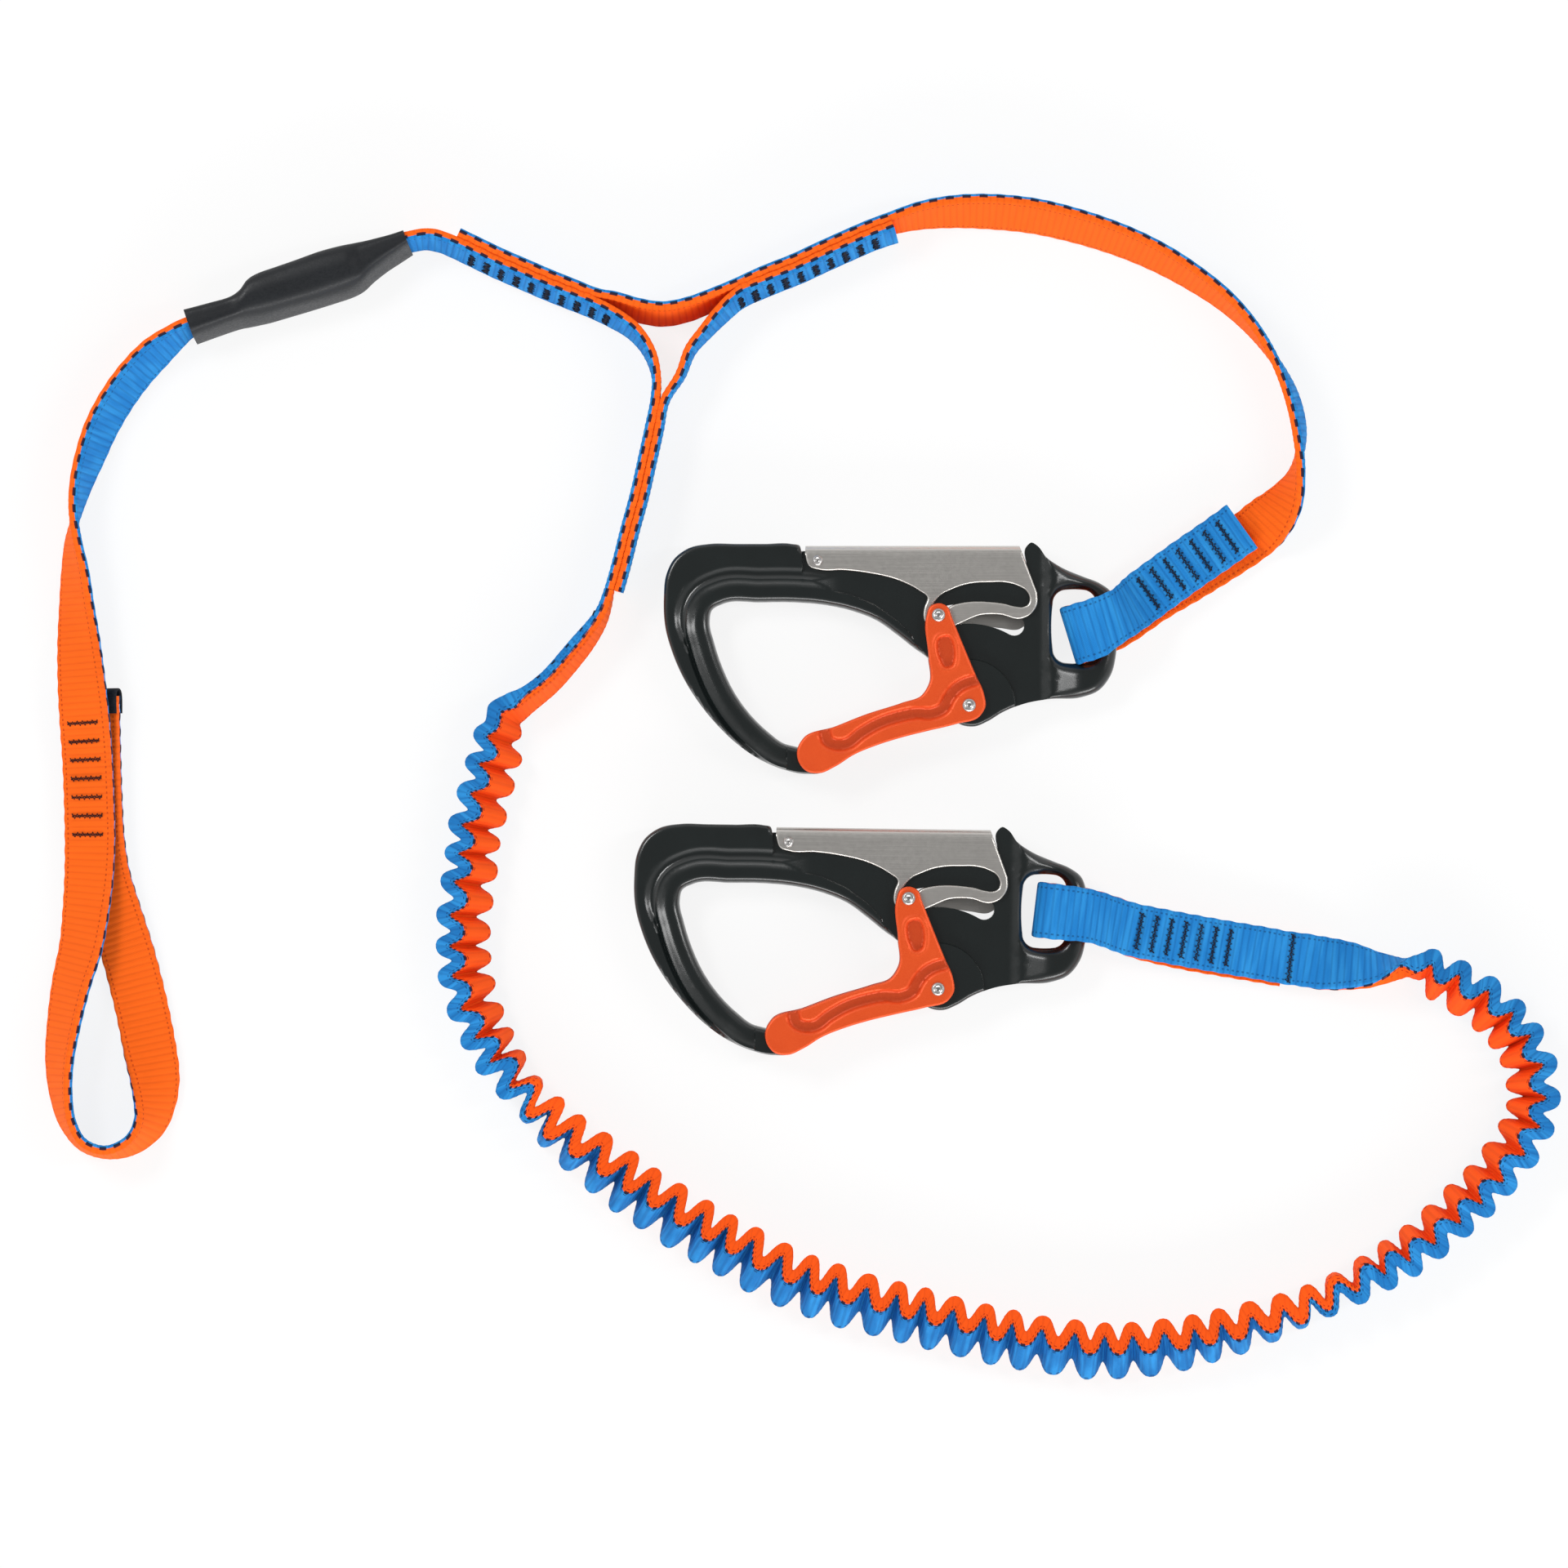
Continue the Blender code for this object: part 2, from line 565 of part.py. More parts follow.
GATE = [(-8.8, 29.3), (-6.2, 28.3), (-5.0, 25.4), (-1.8, 17.6), (1.8, 9.0), (4.3, 3.2),
        (4.7, -0.3), (3.0, -3.2), (-3.7, -5.4), (-12.0, -7.4), (-19.5, -9.3), (-26.5, -11.5),
        (-33.2, -14.3), (-38.4, -17.6), (-42.8, -19.5), (-46.4, -19.1), (-48.9, -16.4),
        (-49.4, -12.8), (-47.6, -9.4), (-38.6, -6.1), (-30.0, -2.7), (-19.1, 0.8), (-13.6, 2.9),
        (-11.4, 6.4), (-11.7, 14.3), (-12.3, 25.6), (-11.3, 28.3)]
GATE_WEB = [(-46.8, -10.6), (-40.0, -8.6), (-31.0, -5.2), (-22.0, -2.4), (-15.6, -1.2),
            (-15.6, -4.2), (-22.0, -5.5), (-30.0, -8.2), (-37.5, -11.4), (-42.0, -12.7),
            (-46.8, -11.9)]


def eye_outline():
    """The eye's hole: a rectangle with round corners."""
    points = []
    for cx, cy, start in ((EYE_HIGH[0] - EYE_CORNER, EYE_HIGH[1] - EYE_CORNER, 0),
                          (EYE_LOW[0] + EYE_CORNER, EYE_HIGH[1] - EYE_CORNER, 90),
                          (EYE_LOW[0] + EYE_CORNER, EYE_LOW[1] + EYE_CORNER, 180),
                          (EYE_HIGH[0] - EYE_CORNER, EYE_LOW[1] + EYE_CORNER, 270)):
        for k in range(4):
            angle = math.radians(start + 30 * k)
            points.append((cx + EYE_CORNER * math.cos(angle), cy + EYE_CORNER * math.sin(angle)))
    return points


def spine_pocket():
    """Area of the body, on either face, that is thinned for the lock plate and the gate arms."""
    area = [(-47.9, 52.0), (15.7, 52.0), (15.7, 46.4), (20.7, 32.4), (20.7, -3.0)]
    for k in range(9):
        angle = math.radians(-5 + 140 * k / 8)
        area.append((BOSS_RADIUS * math.cos(angle), BOSS_RADIUS * math.sin(angle)))
    area += [(-14.2, 12.0), (-16.6, 20.2), (-20.5, 24.2), (-27.0, 28.8), (-34.0, 31.8),
             (-42.0, 33.4), (-47.9, 33.8)]
    return area


def cam_route():
    """Middle of the plate's slot: the lock pin's path as the gate opens, seen from the plate."""
    route = []
    spare = CAM_HALF - PIN_RADIUS - PIN_FIT - 0.1
    for k in range(10):
        share = k / 9
        pin = rotated(LOCK_PIN, (0, 0), -GATE_TRAVEL * share)
        seen = rotated(pin, PLATE_PIN, LOCK_TRAVEL * share)
        route.append((seen[0], seen[1] + spare))
    return route


def clip_body(tag, cutters, group, finish):
    loop = HOOK_OUTER + HOOK_TONGUE + HOOK_INNER + PIVOT_LOBE + RING_OUTER + HORN
    corner = len(loop) - 1
    body = outline_solid(f"clip_{tag}_body", [loop, eye_outline()], BODY_HALF, group, finish,
                         EDGE_ROUND, corners=((0, corner, corner - 1),))
    ring = tube(f"ring_{tag}", [(x * MM, y * MM, 0) for x, y in BOW], RING_HALF * MM, cutters, None,
                BOW_STEPS)
    boolean(body, box(f"ring_cut_{tag}", (BOW_START, -OUTSIDE, -THROUGH),
                      (OUTSIDE, OUTSIDE, THROUGH), cutters))
    boolean(body, as_mesh(ring, cutters), "UNION")
    for side in (-1, 1):
        for label, area, depth in (("pocket", spine_pocket(), SPINE_HALF),
                                   ("nose", NOSE_AREA, TONGUE_HALF)):
            cut = outline_solid(f"{label}_{tag}_{side}", [area], BODY_HALF, cutters,
                                corners=("all",))
            for vertex in cut.data.vertices:
                vertex.co.z += side * (depth + BODY_HALF) * MM
            boolean(body, cut)
    start = math.degrees(math.atan2(LOCK_PIN[1], LOCK_PIN[0]))
    slot = arc_band((0, 0), math.hypot(*LOCK_PIN), ARC_SLOT_HALF, start + ARC_SPARE,
                    start - GATE_TRAVEL - ARC_SPARE)
    boolean(body, outline_solid(f"arc_slot_{tag}", [slot], THROUGH, cutters, corners=("all",)))
    for label, centre, radius in (("pivot", (0, 0), PIN_RADIUS),
                                  ("plate", PLATE_PIN, HINGE_PIN_RADIUS)):
        boolean(body, cylinder(f"{label}_bore_{tag}", centre, radius + PIN_FIT, -THROUGH, THROUGH,
                               cutters))
    boolean(body, cylinder(f"gate_spring_well_{tag}", (0, 0), GATE_SPRING_RADIUS + WELL_ROOM,
                           GATE_SPRING_Z[0] - FIT, THROUGH, cutters))
    well = LOCK_SPRING_RADIUS + WELL_ROOM
    boolean(body, box(f"lock_spring_well_{tag}",
                      (PLATE_PIN[0] - well, PLATE_PIN[1] - well, LOCK_SPRING_Z[0] - FIT),
                      (PLATE_PIN[0] + well, OUTSIDE, THROUGH), cutters))
    return body


def clip_gate(tag, cutters, group, finish):
    gate = outline_solid(f"clip_{tag}_gate", [GATE], CHEEK_OUTER, group, finish, GATE_EDGE)
    room = box(f"gate_room_{tag}", (-OUTSIDE, -OUTSIDE, -CHEEK_INNER),
               (OUTSIDE, OUTSIDE, CHEEK_INNER), cutters)
    web = outline_solid(f"gate_web_{tag}", [GATE_WEB], CHEEK_INNER + CHEEK_WALL / 2, cutters,
                        corners=("all",))
    boolean(gate, room)
    boolean(gate, web, "UNION")
    for label, centre in (("arm", LOCK_PIN), ("pivot", (0, 0))):
        boolean(gate, cylinder(f"gate_{label}_bore_{tag}", centre, PIN_RADIUS + PIN_FIT, -THROUGH,
                               THROUGH, cutters))
    return gate


def lock_plate(tag, cutters, group, finish):
    plate = outline_solid(f"clip_{tag}_lock_plate", [PLATE], PLATE_HALF, group, finish,
                          corners=((0, 1, 2),))
    inner = SPINE_HALF + FIT
    boolean(plate, box(f"plate_room_{tag}", (-OUTSIDE, 0, -inner),
                       (OUTSIDE, PLATE[0][1] - PLATE_WALL, inner), cutters))
    boolean(plate, outline_solid(f"cam_slot_{tag}", [band(cam_route(), CAM_HALF)], THROUGH,
                                 cutters, corners=("all",)))
    boolean(plate, cylinder(f"plate_hinge_bore_{tag}", PLATE_PIN, HINGE_PIN_RADIUS + PIN_FIT,
                            -THROUGH, THROUGH, cutters))
    return plate


def rivet(name, centre, radius, reach, group, finish):
    """A pin with a thin head at either end, turned about its own axis."""
    top = reach + FIT
    head = radius + HEAD_PROUD
    profile = [(0.0, top + HEAD_THICK), (head * 0.75, top + HEAD_THICK), (head, top),
               (radius, top), (radius, -top), (head, -top),
               (head * 0.75, -top - HEAD_THICK), (0.0, -top - HEAD_THICK)]
    mesh = bpy.data.meshes.new(name)
    work = bmesh.new()
    knots = [work.verts.new((x * MM, 0, z * MM)) for x, z in profile]
    for a, b in zip(knots, knots[1:]):
        work.edges.new((a, b))
    work.to_mesh(mesh)
    work.free()
    item = put(name, mesh, group, finish)
    turn = item.modifiers.new("Turn", "SCREW")
    turn.steps = ROUND_STEPS
    turn.render_steps = ROUND_STEPS
    turn.use_merge_vertices = True
    turn.merge_threshold = 0.00001
    turn.use_smooth_shade = True
    item.location = (centre[0] * MM, centre[1] * MM, 0)
    return item


def torsion_spring(name, centre, radius, reach, turns, group, finish):
    """Open coil round a pin, from its lowest to its highest wire."""
    steps = int(turns * SPRING_STEPS)
    points = []
    for k in range(steps + 1):
        angle = 2 * math.pi * k / SPRING_STEPS
        z = reach[0] + SPRING_WIRE + (reach[1] - reach[0] - 2 * SPRING_WIRE) * k / steps
        points.append(Vector(((centre[0] + radius * math.cos(angle)) * MM,
                              (centre[1] + radius * math.sin(angle)) * MM, z * MM)))
    return tube(name, points, SPRING_WIRE * MM, group, finish)


def clip(tag, pivot, turn, cutters, group, finishes):
    """One clip: body, lock plate, gate, three rivets and two springs, placed by its pivot."""
    place = clip_matrix(pivot, turn)
    earlier = set(cutters.objects)
    own = [clip_body(tag, cutters, group, finishes["body"]),
           lock_plate(tag, cutters, group, finishes["steel"]),
           clip_gate(tag, cutters, group, finishes["gate"]),
           rivet(f"clip_{tag}_gate_pivot", (0, 0), PIN_RADIUS, CHEEK_OUTER, group,
                 finishes["pin"]),
           rivet(f"clip_{tag}_lock_pin", LOCK_PIN, PIN_RADIUS, CHEEK_OUTER, group,
                 finishes["pin"]),
           rivet(f"clip_{tag}_plate_pivot", PLATE_PIN, HINGE_PIN_RADIUS, PLATE_HALF, group,
                 finishes["pin"]),
           torsion_spring(f"clip_{tag}_gate_spring", (0, 0), GATE_SPRING_RADIUS, GATE_SPRING_Z,
                          GATE_SPRING_TURNS, group, finishes["pin"]),
           torsion_spring(f"clip_{tag}_lock_spring", PLATE_PIN, LOCK_SPRING_RADIUS, LOCK_SPRING_Z,
                          LOCK_SPRING_TURNS, group, finishes["pin"])]
    for item in own + [c for c in cutters.objects if c not in earlier]:
        item.matrix_world = place @ item.matrix_basis


empty_scene()
TETHER = collection("elastic_safety_tether")
CUTTERS = collection("cutters")
FINISHES = {
    "body": material("black_anodised", (0.018, 0.022, 0.023), 0.3, 0.6),
    "steel": material("satin_steel", (0.42, 0.41, 0.39), 0.35, 1.0),
    "gate": material("orange_anodised", (0.75, 0.09, 0.01), 0.4, 0.4),
    "pin": material("bright_steel", (0.62, 0.62, 0.62), 0.25, 1.0),
    "webbing": material("webbing", (0.9, 0.15, 0.02), 0.8),
    "blue_webbing": material("blue_webbing", (0.03, 0.25, 0.62), 0.8),
    "sleeve": material("shrink_sleeve", (0.03, 0.035, 0.04), 0.5),
    "thread": material("thread", (0.02, 0.02, 0.03), 0.7),
    "rubber": material("elastic", (0.55, 0.5, 0.42), 0.7),
}
clip("a", CLIP_A, CLIP_A_TURN, CUTTERS, TETHER, FINISHES)
clip("b", CLIP_B, CLIP_B_TURN, CUTTERS, TETHER, FINISHES)

# Fold under the sleeve: three layers standing side by side
FOLD_WAY = Vector((math.cos(math.radians(FOLD_SLOPE)), math.sin(math.radians(FOLD_SLOPE)), 0))
FOLD_ACROSS, FOLD_NORMAL = leaning(FOLD_WAY, FOLD_LEAN)
FOLD_SIDE = Vector((0, 0, 1)).cross(FOLD_WAY) / math.cos(math.radians(FOLD_LEAN))
FOLD_MIDDLE = floor_point(*FOLD_CENTRE, rest_height(FOLD_LEAN, WEB_WIDTH, WEB_THICK)
                          + SLEEVE_LIFT * MM)
LAYER = WEB_THICK + GAP


def fold_point(along, sideways):
    return FOLD_MIDDLE + FOLD_WAY * along + FOLD_SIDE * sideways


def fold_layers(bend_steps=6):
    """Out along the first layer, back along the second, out along the third."""
    points = [fold_point(a * MM, b * MM) for a, b in FOLD_ENTRY]
    for layer, way in ((-1, 1), (0, -1), (1, 1)):
        for share in (-0.5, 0.0, 0.5):
            points.append(fold_point(way * share * FOLD_LENGTH, layer * LAYER))
        if layer < 1:
            for k in range(1, bend_steps):
                angle = math.pi * k / bend_steps
                points.append(fold_point(way * (FOLD_LENGTH / 2 + LAYER / 2 * math.sin(angle)),
                                         (layer + 0.5) * LAYER - LAYER / 2 * math.cos(angle)))
    points += [fold_point(a * MM, b * MM) for a, b in FOLD_EXIT]
    return standing(points, FOLD_ACROSS)


def sleeve(name, group, finish):
    """Shrink sleeve: a thin open tube whose sections follow the fold inside."""
    work = bmesh.new()
    slant = math.tan(math.radians(FOLD_LEAN))
    tall = WEB_WIDTH / 2 + WEB_THICK / 2 * slant + GAP
    sections = ([(a, b, 0) for a, b in FOLD_ENTRY]
                + [(-FOLD_REACH, 0.0, 1), (FOLD_REACH, 0.0, 1)]
                + [(a, b, 0) for a, b in FOLD_EXIT])
    rings = []
    for along, middle, layers in sections:
        deep = WEB_THICK / 2 + layers * LAYER + GAP + SLEEVE_CORNER / 5
        ring = []
        for up, out in ((1, 1), (-1, 1), (-1, -1), (1, -1)):
            pair = [(tall, deep - SLEEVE_CORNER), (tall - SLEEVE_CORNER, deep)]
            if up * out < 0:
                pair.reverse()
            for a, b in pair:
                ring.append(work.verts.new(fold_point(along * MM, middle * MM)
                                           + FOLD_ACROSS * up * a + FOLD_SIDE * out * b))
        rings.append(ring)
    for first, second in zip(rings, rings[1:]):
        for k in range(len(first)):
            n = (k + 1) % len(first)
            work.faces.new((first[k], first[n], second[n], second[k]))
    mesh = bpy.data.meshes.new(name)
    work.to_mesh(mesh)
    work.free()
    item = put(name, mesh, group, finish)
    shell = item.modifiers.new("Wall", "SOLIDIFY")
    shell.thickness = SLEEVE_WALL
    shell.offset = -1.0
    shell.use_even_offset = True
    return item


LOOP = lay(HAND_LOOP)
LEFT_ARM = lay(ARM_LEFT)
RIGHT_ARM = lay(ARM_RIGHT)
STEM_LAYER = lay(STEM)
MAIN = (LOOP + fold_layers() + lay(ARM_LEFT_LEAD) + LEFT_ARM + lay(ARM_TO_STEM) + STEM_LAYER)
ribbon("hand_loop_webbing", MAIN, WEB_WIDTH, WEB_THICK, TETHER, FINISHES["webbing"])

SHORT = (beside(LEFT_ARM, LAYER) + lay(SHORT_BRIDGE) + RIGHT_ARM + lay(SHORT_ARC)
         + lay(SHORT_LOWER)
         + eye_turn(CLIP_A, CLIP_A_TURN, TURN_A, SLANT_A, SKEW_A, SLACK_A, RISE_A, WEB_THICK,
                    True)
         + lay(SHORT_UPPER))
ribbon("short_leg_webbing", SHORT, WEB_WIDTH, WEB_THICK, TETHER, FINISHES["blue_webbing"])

BRIDGE = turned(beside(RIGHT_ARM, -LAYER)) + lay(BRIDGE_TURN) + beside(STEM_LAYER, LAYER)
ribbon("bridge_webbing", BRIDGE, WEB_WIDTH, WEB_THICK, TETHER, FINISHES["blue_webbing"])

LEAD = lay(LEG_LEAD + LEG_GATHERS[:1], LEG_THICK, STATION / 4, 0, 1)
FLAT = lay([LEG_GATHERS[-1]] + LEG_FLAT, LEG_THICK, STATION / 8, 1, 0)
TAIL = (lay(LEG_UPPER, LEG_THICK)
        + eye_turn(CLIP_B, CLIP_B_TURN, TURN_B, SLANT_B, SKEW_B, SLACK_B, RISE_B, LEG_THICK,
                   False)
        + lay(LEG_LOWER, LEG_THICK))
LEG = LEAD + gathers(WEB_WAVE) + FLAT + TAIL
leg = ribbon("elastic_leg_webbing", LEG, WEB_WIDTH, LEG_THICK, TETHER, FINISHES["webbing"])
PLAIN = LEAD + gathers(BORE_WAVE) + FLAT
print("least gap of the gathers to themselves, mm:",
      round(least_gap(gathers(WEB_WAVE), WEB_WIDTH, LEG_THICK, 2.5 * LEG_THICK) / MM, 2))
before_start = Station(PLAIN[0].point - (PLAIN[1].point - PLAIN[0].point).normalized() * MM,
                       PLAIN[0].across, PLAIN[0].normal)
bore = ribbon("elastic_bore", [before_start] + PLAIN, BORE_WIDTH, BORE_THICK, CUTTERS, None)
boolean(leg, bore)
ribbon("elastic_core", PLAIN[1:-1], CORE_WIDTH, CORE_THICK, TETHER, FINISHES["rubber"])
sleeve("overload_sleeve", TETHER, FINISHES["sleeve"])

# Bar tacks: name, stretch, first bar's photograph point, pitch, bars, face, webbing, length
TACKS = [
    ("hand_loop_bar_tack", LOOP, (107, 1022), 5.4, 7, 1, WEB_THICK, 10.5, 200 * MM),
    ("left_arm_bar_tack", LEFT_ARM + lay(ARM_TO_STEM), (581, 316), 4.7, 10, -1, WEB_THICK, 10.5, 0),
    ("right_arm_bar_tack", BRIDGE, (1070, 296), 4.7, 10, 1, WEB_THICK, 10.5, 0),
    ("clip_a_bar_tack", lay(SHORT_UPPER), (1405, 727), 4.65, 7, 1, WEB_THICK, 10.0, 0),
    ("clip_b_bar_tack", lay(LEG_UPPER, LEG_THICK), (1503, 1160), 4.36, 7, -1, LEG_THICK, 10.0, 0),
    ("elastic_inner_anchor_tack", LEAD, (739, 752), 2.0, 2, -1, LEG_THICK, 11.0, 0),
    ("elastic_outer_anchor_tack", FLAT + lay(LEG_UPPER, LEG_THICK), (1579, 1173), 2.0, 2, -1,
     LEG_THICK, 13.0, 0),
]
for name, stretch, first, pitch, bars, face, thick, length, after in TACKS:
    bar_tack(name, stretch, distance_to(stretch, *first, after), pitch * MM, bars, face, thick,
             length * MM)

# End tab: tape folded over the hand loop's cut end
TAB_THICK = 0.5 * MM
TAB_REACH = 5.0 * MM
TAB_ROUND = WEB_THICK / 2 + GAP + TAB_THICK / 2


def end_tab(name, end, way, steps=6):
    """A strip that runs along one face of the end, round it and back along the other."""
    out = way.normalized()
    points = [end.point - out * TAB_REACH + end.normal * TAB_ROUND]
    for k in range(steps + 1):
        angle = math.pi * k / steps
        points.append(end.point + out * TAB_ROUND * math.sin(angle)
                      + end.normal * TAB_ROUND * math.cos(angle))
    points.append(end.point - out * TAB_REACH - end.normal * TAB_ROUND)
    ribbon(name, standing(points, end.across), WEB_WIDTH, TAB_THICK, TETHER, FINISHES["thread"])


end_tab("hand_loop_end_tab", LOOP[0], LOOP[0].point - LOOP[1].point)
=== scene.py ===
"""Looks of the elastic safety tether: webbing, gathers, stitching, sleeve and two-action clips."""

import json
import math
from collections import namedtuple

import bmesh
import bpy
import numpy as np
from mathutils import Matrix, Vector
from mathutils.geometry import delaunay_2d_cdt

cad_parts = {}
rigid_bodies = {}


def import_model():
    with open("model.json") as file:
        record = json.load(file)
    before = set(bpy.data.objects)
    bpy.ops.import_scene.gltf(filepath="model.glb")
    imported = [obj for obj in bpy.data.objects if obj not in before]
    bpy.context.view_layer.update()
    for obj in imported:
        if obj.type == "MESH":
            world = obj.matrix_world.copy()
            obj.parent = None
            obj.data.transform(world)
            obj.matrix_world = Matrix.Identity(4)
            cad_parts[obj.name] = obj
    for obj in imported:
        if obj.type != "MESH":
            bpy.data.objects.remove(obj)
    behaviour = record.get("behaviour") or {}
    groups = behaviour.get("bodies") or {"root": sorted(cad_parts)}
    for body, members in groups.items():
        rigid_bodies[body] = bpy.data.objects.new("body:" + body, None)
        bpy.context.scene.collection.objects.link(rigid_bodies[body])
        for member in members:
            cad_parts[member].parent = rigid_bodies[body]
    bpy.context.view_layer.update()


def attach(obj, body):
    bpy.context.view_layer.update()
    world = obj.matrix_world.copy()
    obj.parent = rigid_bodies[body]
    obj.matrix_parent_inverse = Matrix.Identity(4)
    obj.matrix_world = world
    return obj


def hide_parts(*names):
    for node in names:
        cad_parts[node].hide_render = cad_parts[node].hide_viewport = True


for item in list(bpy.data.objects):
    bpy.data.objects.remove(item, do_unlink=True)
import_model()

# Units and the lay
MM = 0.001
PIXEL = 0.2355 * MM               # one photograph pixel on the floor
CLIPS_MIDDLE = (1071.67, 978.08)  # photograph point at the part's origin
GAP = 0.3 * MM
FRAME_PIXELS = 1920

# Webbing
WEB_WIDTH = 15.5 * MM
WEB_THICK = 3.0 * MM
SKIN_THICK = 2.7 * MM             # webbing as it looks, a little under its solid
FLOOR_SPARE = 0.1 * MM
STATION = 9.0 * MM
FINE = 0.55 * MM                  # spacing of sections along the webbing that shows
RIB_PITCH = 1.9
RIB_HEIGHT = 0.07
SCALLOP_PITCH = 4.7
SCALLOP = 0.2
CORE_WIDTH = 11.0 * MM
CORE_THICK = 0.8 * MM

# Gathers
WAVES = 58
WAVE_HEIGHTS = [(0, 5.2), (9, 5.4), (15, 7.2), (18, 8.0), (24, 7.8), (30, 6.8), (36, 6.1),
                (46, 5.3), (58, 5.6)]   # gather number and how far it stands from crest to crest
WAVE_RAMP = 1.5
WAVE_END_RAMP = 0.8
WAVE_SWELL = 0.36                 # how far the crests spread over the notches
WAVE_SETTLE = 3.7 * MM            # shift from the line towards the tube's lower edge
WAVE_STEPS = 14
WAVE_FLAT = 0.05                  # third harmonic that rounds the crests
GATHER_NARROW = 0.13              # share of its width that the full tube loses
GATHER_FULL = 1.00                # and by which it grows thicker
GATHER_FADE = 9.0 * MM            # length over which the tube grows flat beyond its gathers
SEAM_SHIFT = 0.90                 # where the faces meet on the full tube, towards the one that shows
SEAM_PLAIN = 0.28                 # and on plain webbing, towards the blue face

# Fold and sleeve
FOLD_LENGTH = 29.0 * MM
FOLD_CENTRE = (378.0, 350.0)
FOLD_SLOPE = 17.5
FOLD_LEAN = 12.0
SLEEVE_LIFT = 1.2
FOLD_LAYER = 2.8 * MM
FOLD_ENTRY = [(-36.0, -1.6), (-28.0, -2.4), (-21.0, -2.8)]
FOLD_EXIT = [(21.0, 2.8), (27.0, 2.8), (32.0, 2.7)]

# Clips: origin at the gate pivot, X towards the eye, Y towards the spine, Z through it
CLIP_HEIGHT = 8.0 * MM
CLIP_A = (1185.7, 864.0)
CLIP_B = (1147.7, 1210.0)
TURNS = {"a": 0.0, "b": -0.8}
PIVOTS = {"a": CLIP_A, "b": CLIP_B}
BODY_HALF = 5.0
RING_HALF = 3.0
SPINE_HALF = 3.5
TONGUE_HALF = 4.0
PLATE_WALL = 1.2
PLATE_HALF = 5.0
CHEEK_INNER = 5.3
CHEEK_OUTER = 7.3
LOCK_PIN = (-8.8, 25.9)
PLATE_PIN = (-43.5, 41.6)
PIN_RADIUS = 1.5
HINGE_PIN_RADIUS = 1.2
# body's slot for the lock pin: radius, half width, first and last angle
ARC_SLOT = (26.4, 2.95, 106.9, 60.5)
# springs: mean coil radius, lowest and highest wire, turns
GATE_SPRING = (2.45, (1.9, 4.7), 2.5)
LOCK_SPRING = (2.1, (0.8, 3.2), 2.0)
SPRING_WIRE = 0.35
SPRING_STEPS = 28                 # points to a turn
BOSS_RADIUS = 13.2
EYE_BAR = (39.5, 22.7)
# webbing through each eye: middle of its turn, slant there, slant of the layer that leaves, slack
EYE_TURNS = {"a": ((35.3, 21.8), 17.0, 27.0, 1.0 * MM), "b": ((33.9, 22.6), -6.0, -6.0, 0.2 * MM)}
EYE_RISE = 0.5 * MM
EYE_SPREAD = {"a": 1.12, "b": 1.04}
EYE_LOW = (24.1, 12.2)
EYE_HIGH = (36.6, 33.2)
EYE_CORNER = 4.0

Station = namedtuple("Station", "point across normal gather", defaults=(0.0,))


# Materials
class Finish:
    """A procedural material under construction; lengths inside it are millimetres."""

    def __init__(self, name, colour=None, **constants):
        self.data = bpy.data.materials.new(name)
        self.data.use_nodes = True
        self.nodes = self.data.node_tree.nodes
        self.links = self.data.node_tree.links
        self.shader = self.nodes["Principled BSDF"]
        if colour is not None:
            self.shader.inputs["Base Color"].default_value = (*colour, 1.0)
        for key, value in constants.items():
            self.shader.inputs[key.replace("_", " ")].default_value = value

    def join(self, value, socket):
        if isinstance(value, bpy.types.NodeSocket):
            self.links.new(value, socket)
        elif isinstance(value, tuple) and len(value) == 3 and len(socket.default_value) == 4:
            socket.default_value = (*value, 1.0)
        else:
            socket.default_value = value

    def add(self, kind, inputs=None, **settings):
        made = self.nodes.new("ShaderNode" + kind)
        for key, value in settings.items():
            setattr(made, key, value)
        for key, value in (inputs or {}).items():
            self.join(value, made.inputs[key])
        return made

    def calc(self, operation, *values):
        made = self.nodes.new("ShaderNodeMath")
        made.operation = operation
        for value, socket in zip(values, made.inputs):
            self.join(value, socket)
        return made.outputs[0]

    def mix(self, factor, a, b):
        made = self.nodes.new("ShaderNodeMix")
        made.data_type = "RGBA"
        self.join(factor, made.inputs[0])
        self.join(a, made.inputs[6])
        self.join(b, made.inputs[7])
        return made.outputs[2]

    def fade(self, value, low, high, start=0.0, end=1.0):
        made = self.add("MapRange", {"Value": value, "From Min": low, "From Max": high,
                                     "To Min": start, "To Max": end},
                        interpolation_type="SMOOTHSTEP")
        return made.outputs["Result"]

    def uv(self, name):
        split = self.add("SeparateXYZ", {0: self.add("UVMap", uv_map=name).outputs["UV"]})
        return split.outputs[0], split.outputs[1]

    def millimetres(self):
        place = self.add("TexCoord").outputs["Object"]
        return self.add("VectorMath", {0: place, 1: (1 / MM,) * 3}, operation="MULTIPLY").outputs[0]

    def noise(self, vector, scale, detail=2.0, rough=0.5):
        return self.add("TexNoise", {"Vector": vector, "Scale": scale, "Detail": detail,
                                     "Roughness": rough}).outputs["Fac"]

    def vector(self, x, y, z=0.0):
        return self.add("CombineXYZ", {0: x, 1: y, 2: z}).outputs[0]

    def bump(self, height, distance, strength=1.0):
        made = self.add("Bump", {"Height": height, "Distance": distance * MM,
                                 "Strength": strength})
        self.links.new(made.outputs["Normal"], self.shader.inputs["Normal"])

    def colour(self, value):
        self.join(value, self.shader.inputs["Base Color"])

    def rough(self, value):
        self.join(value, self.shader.inputs["Roughness"])


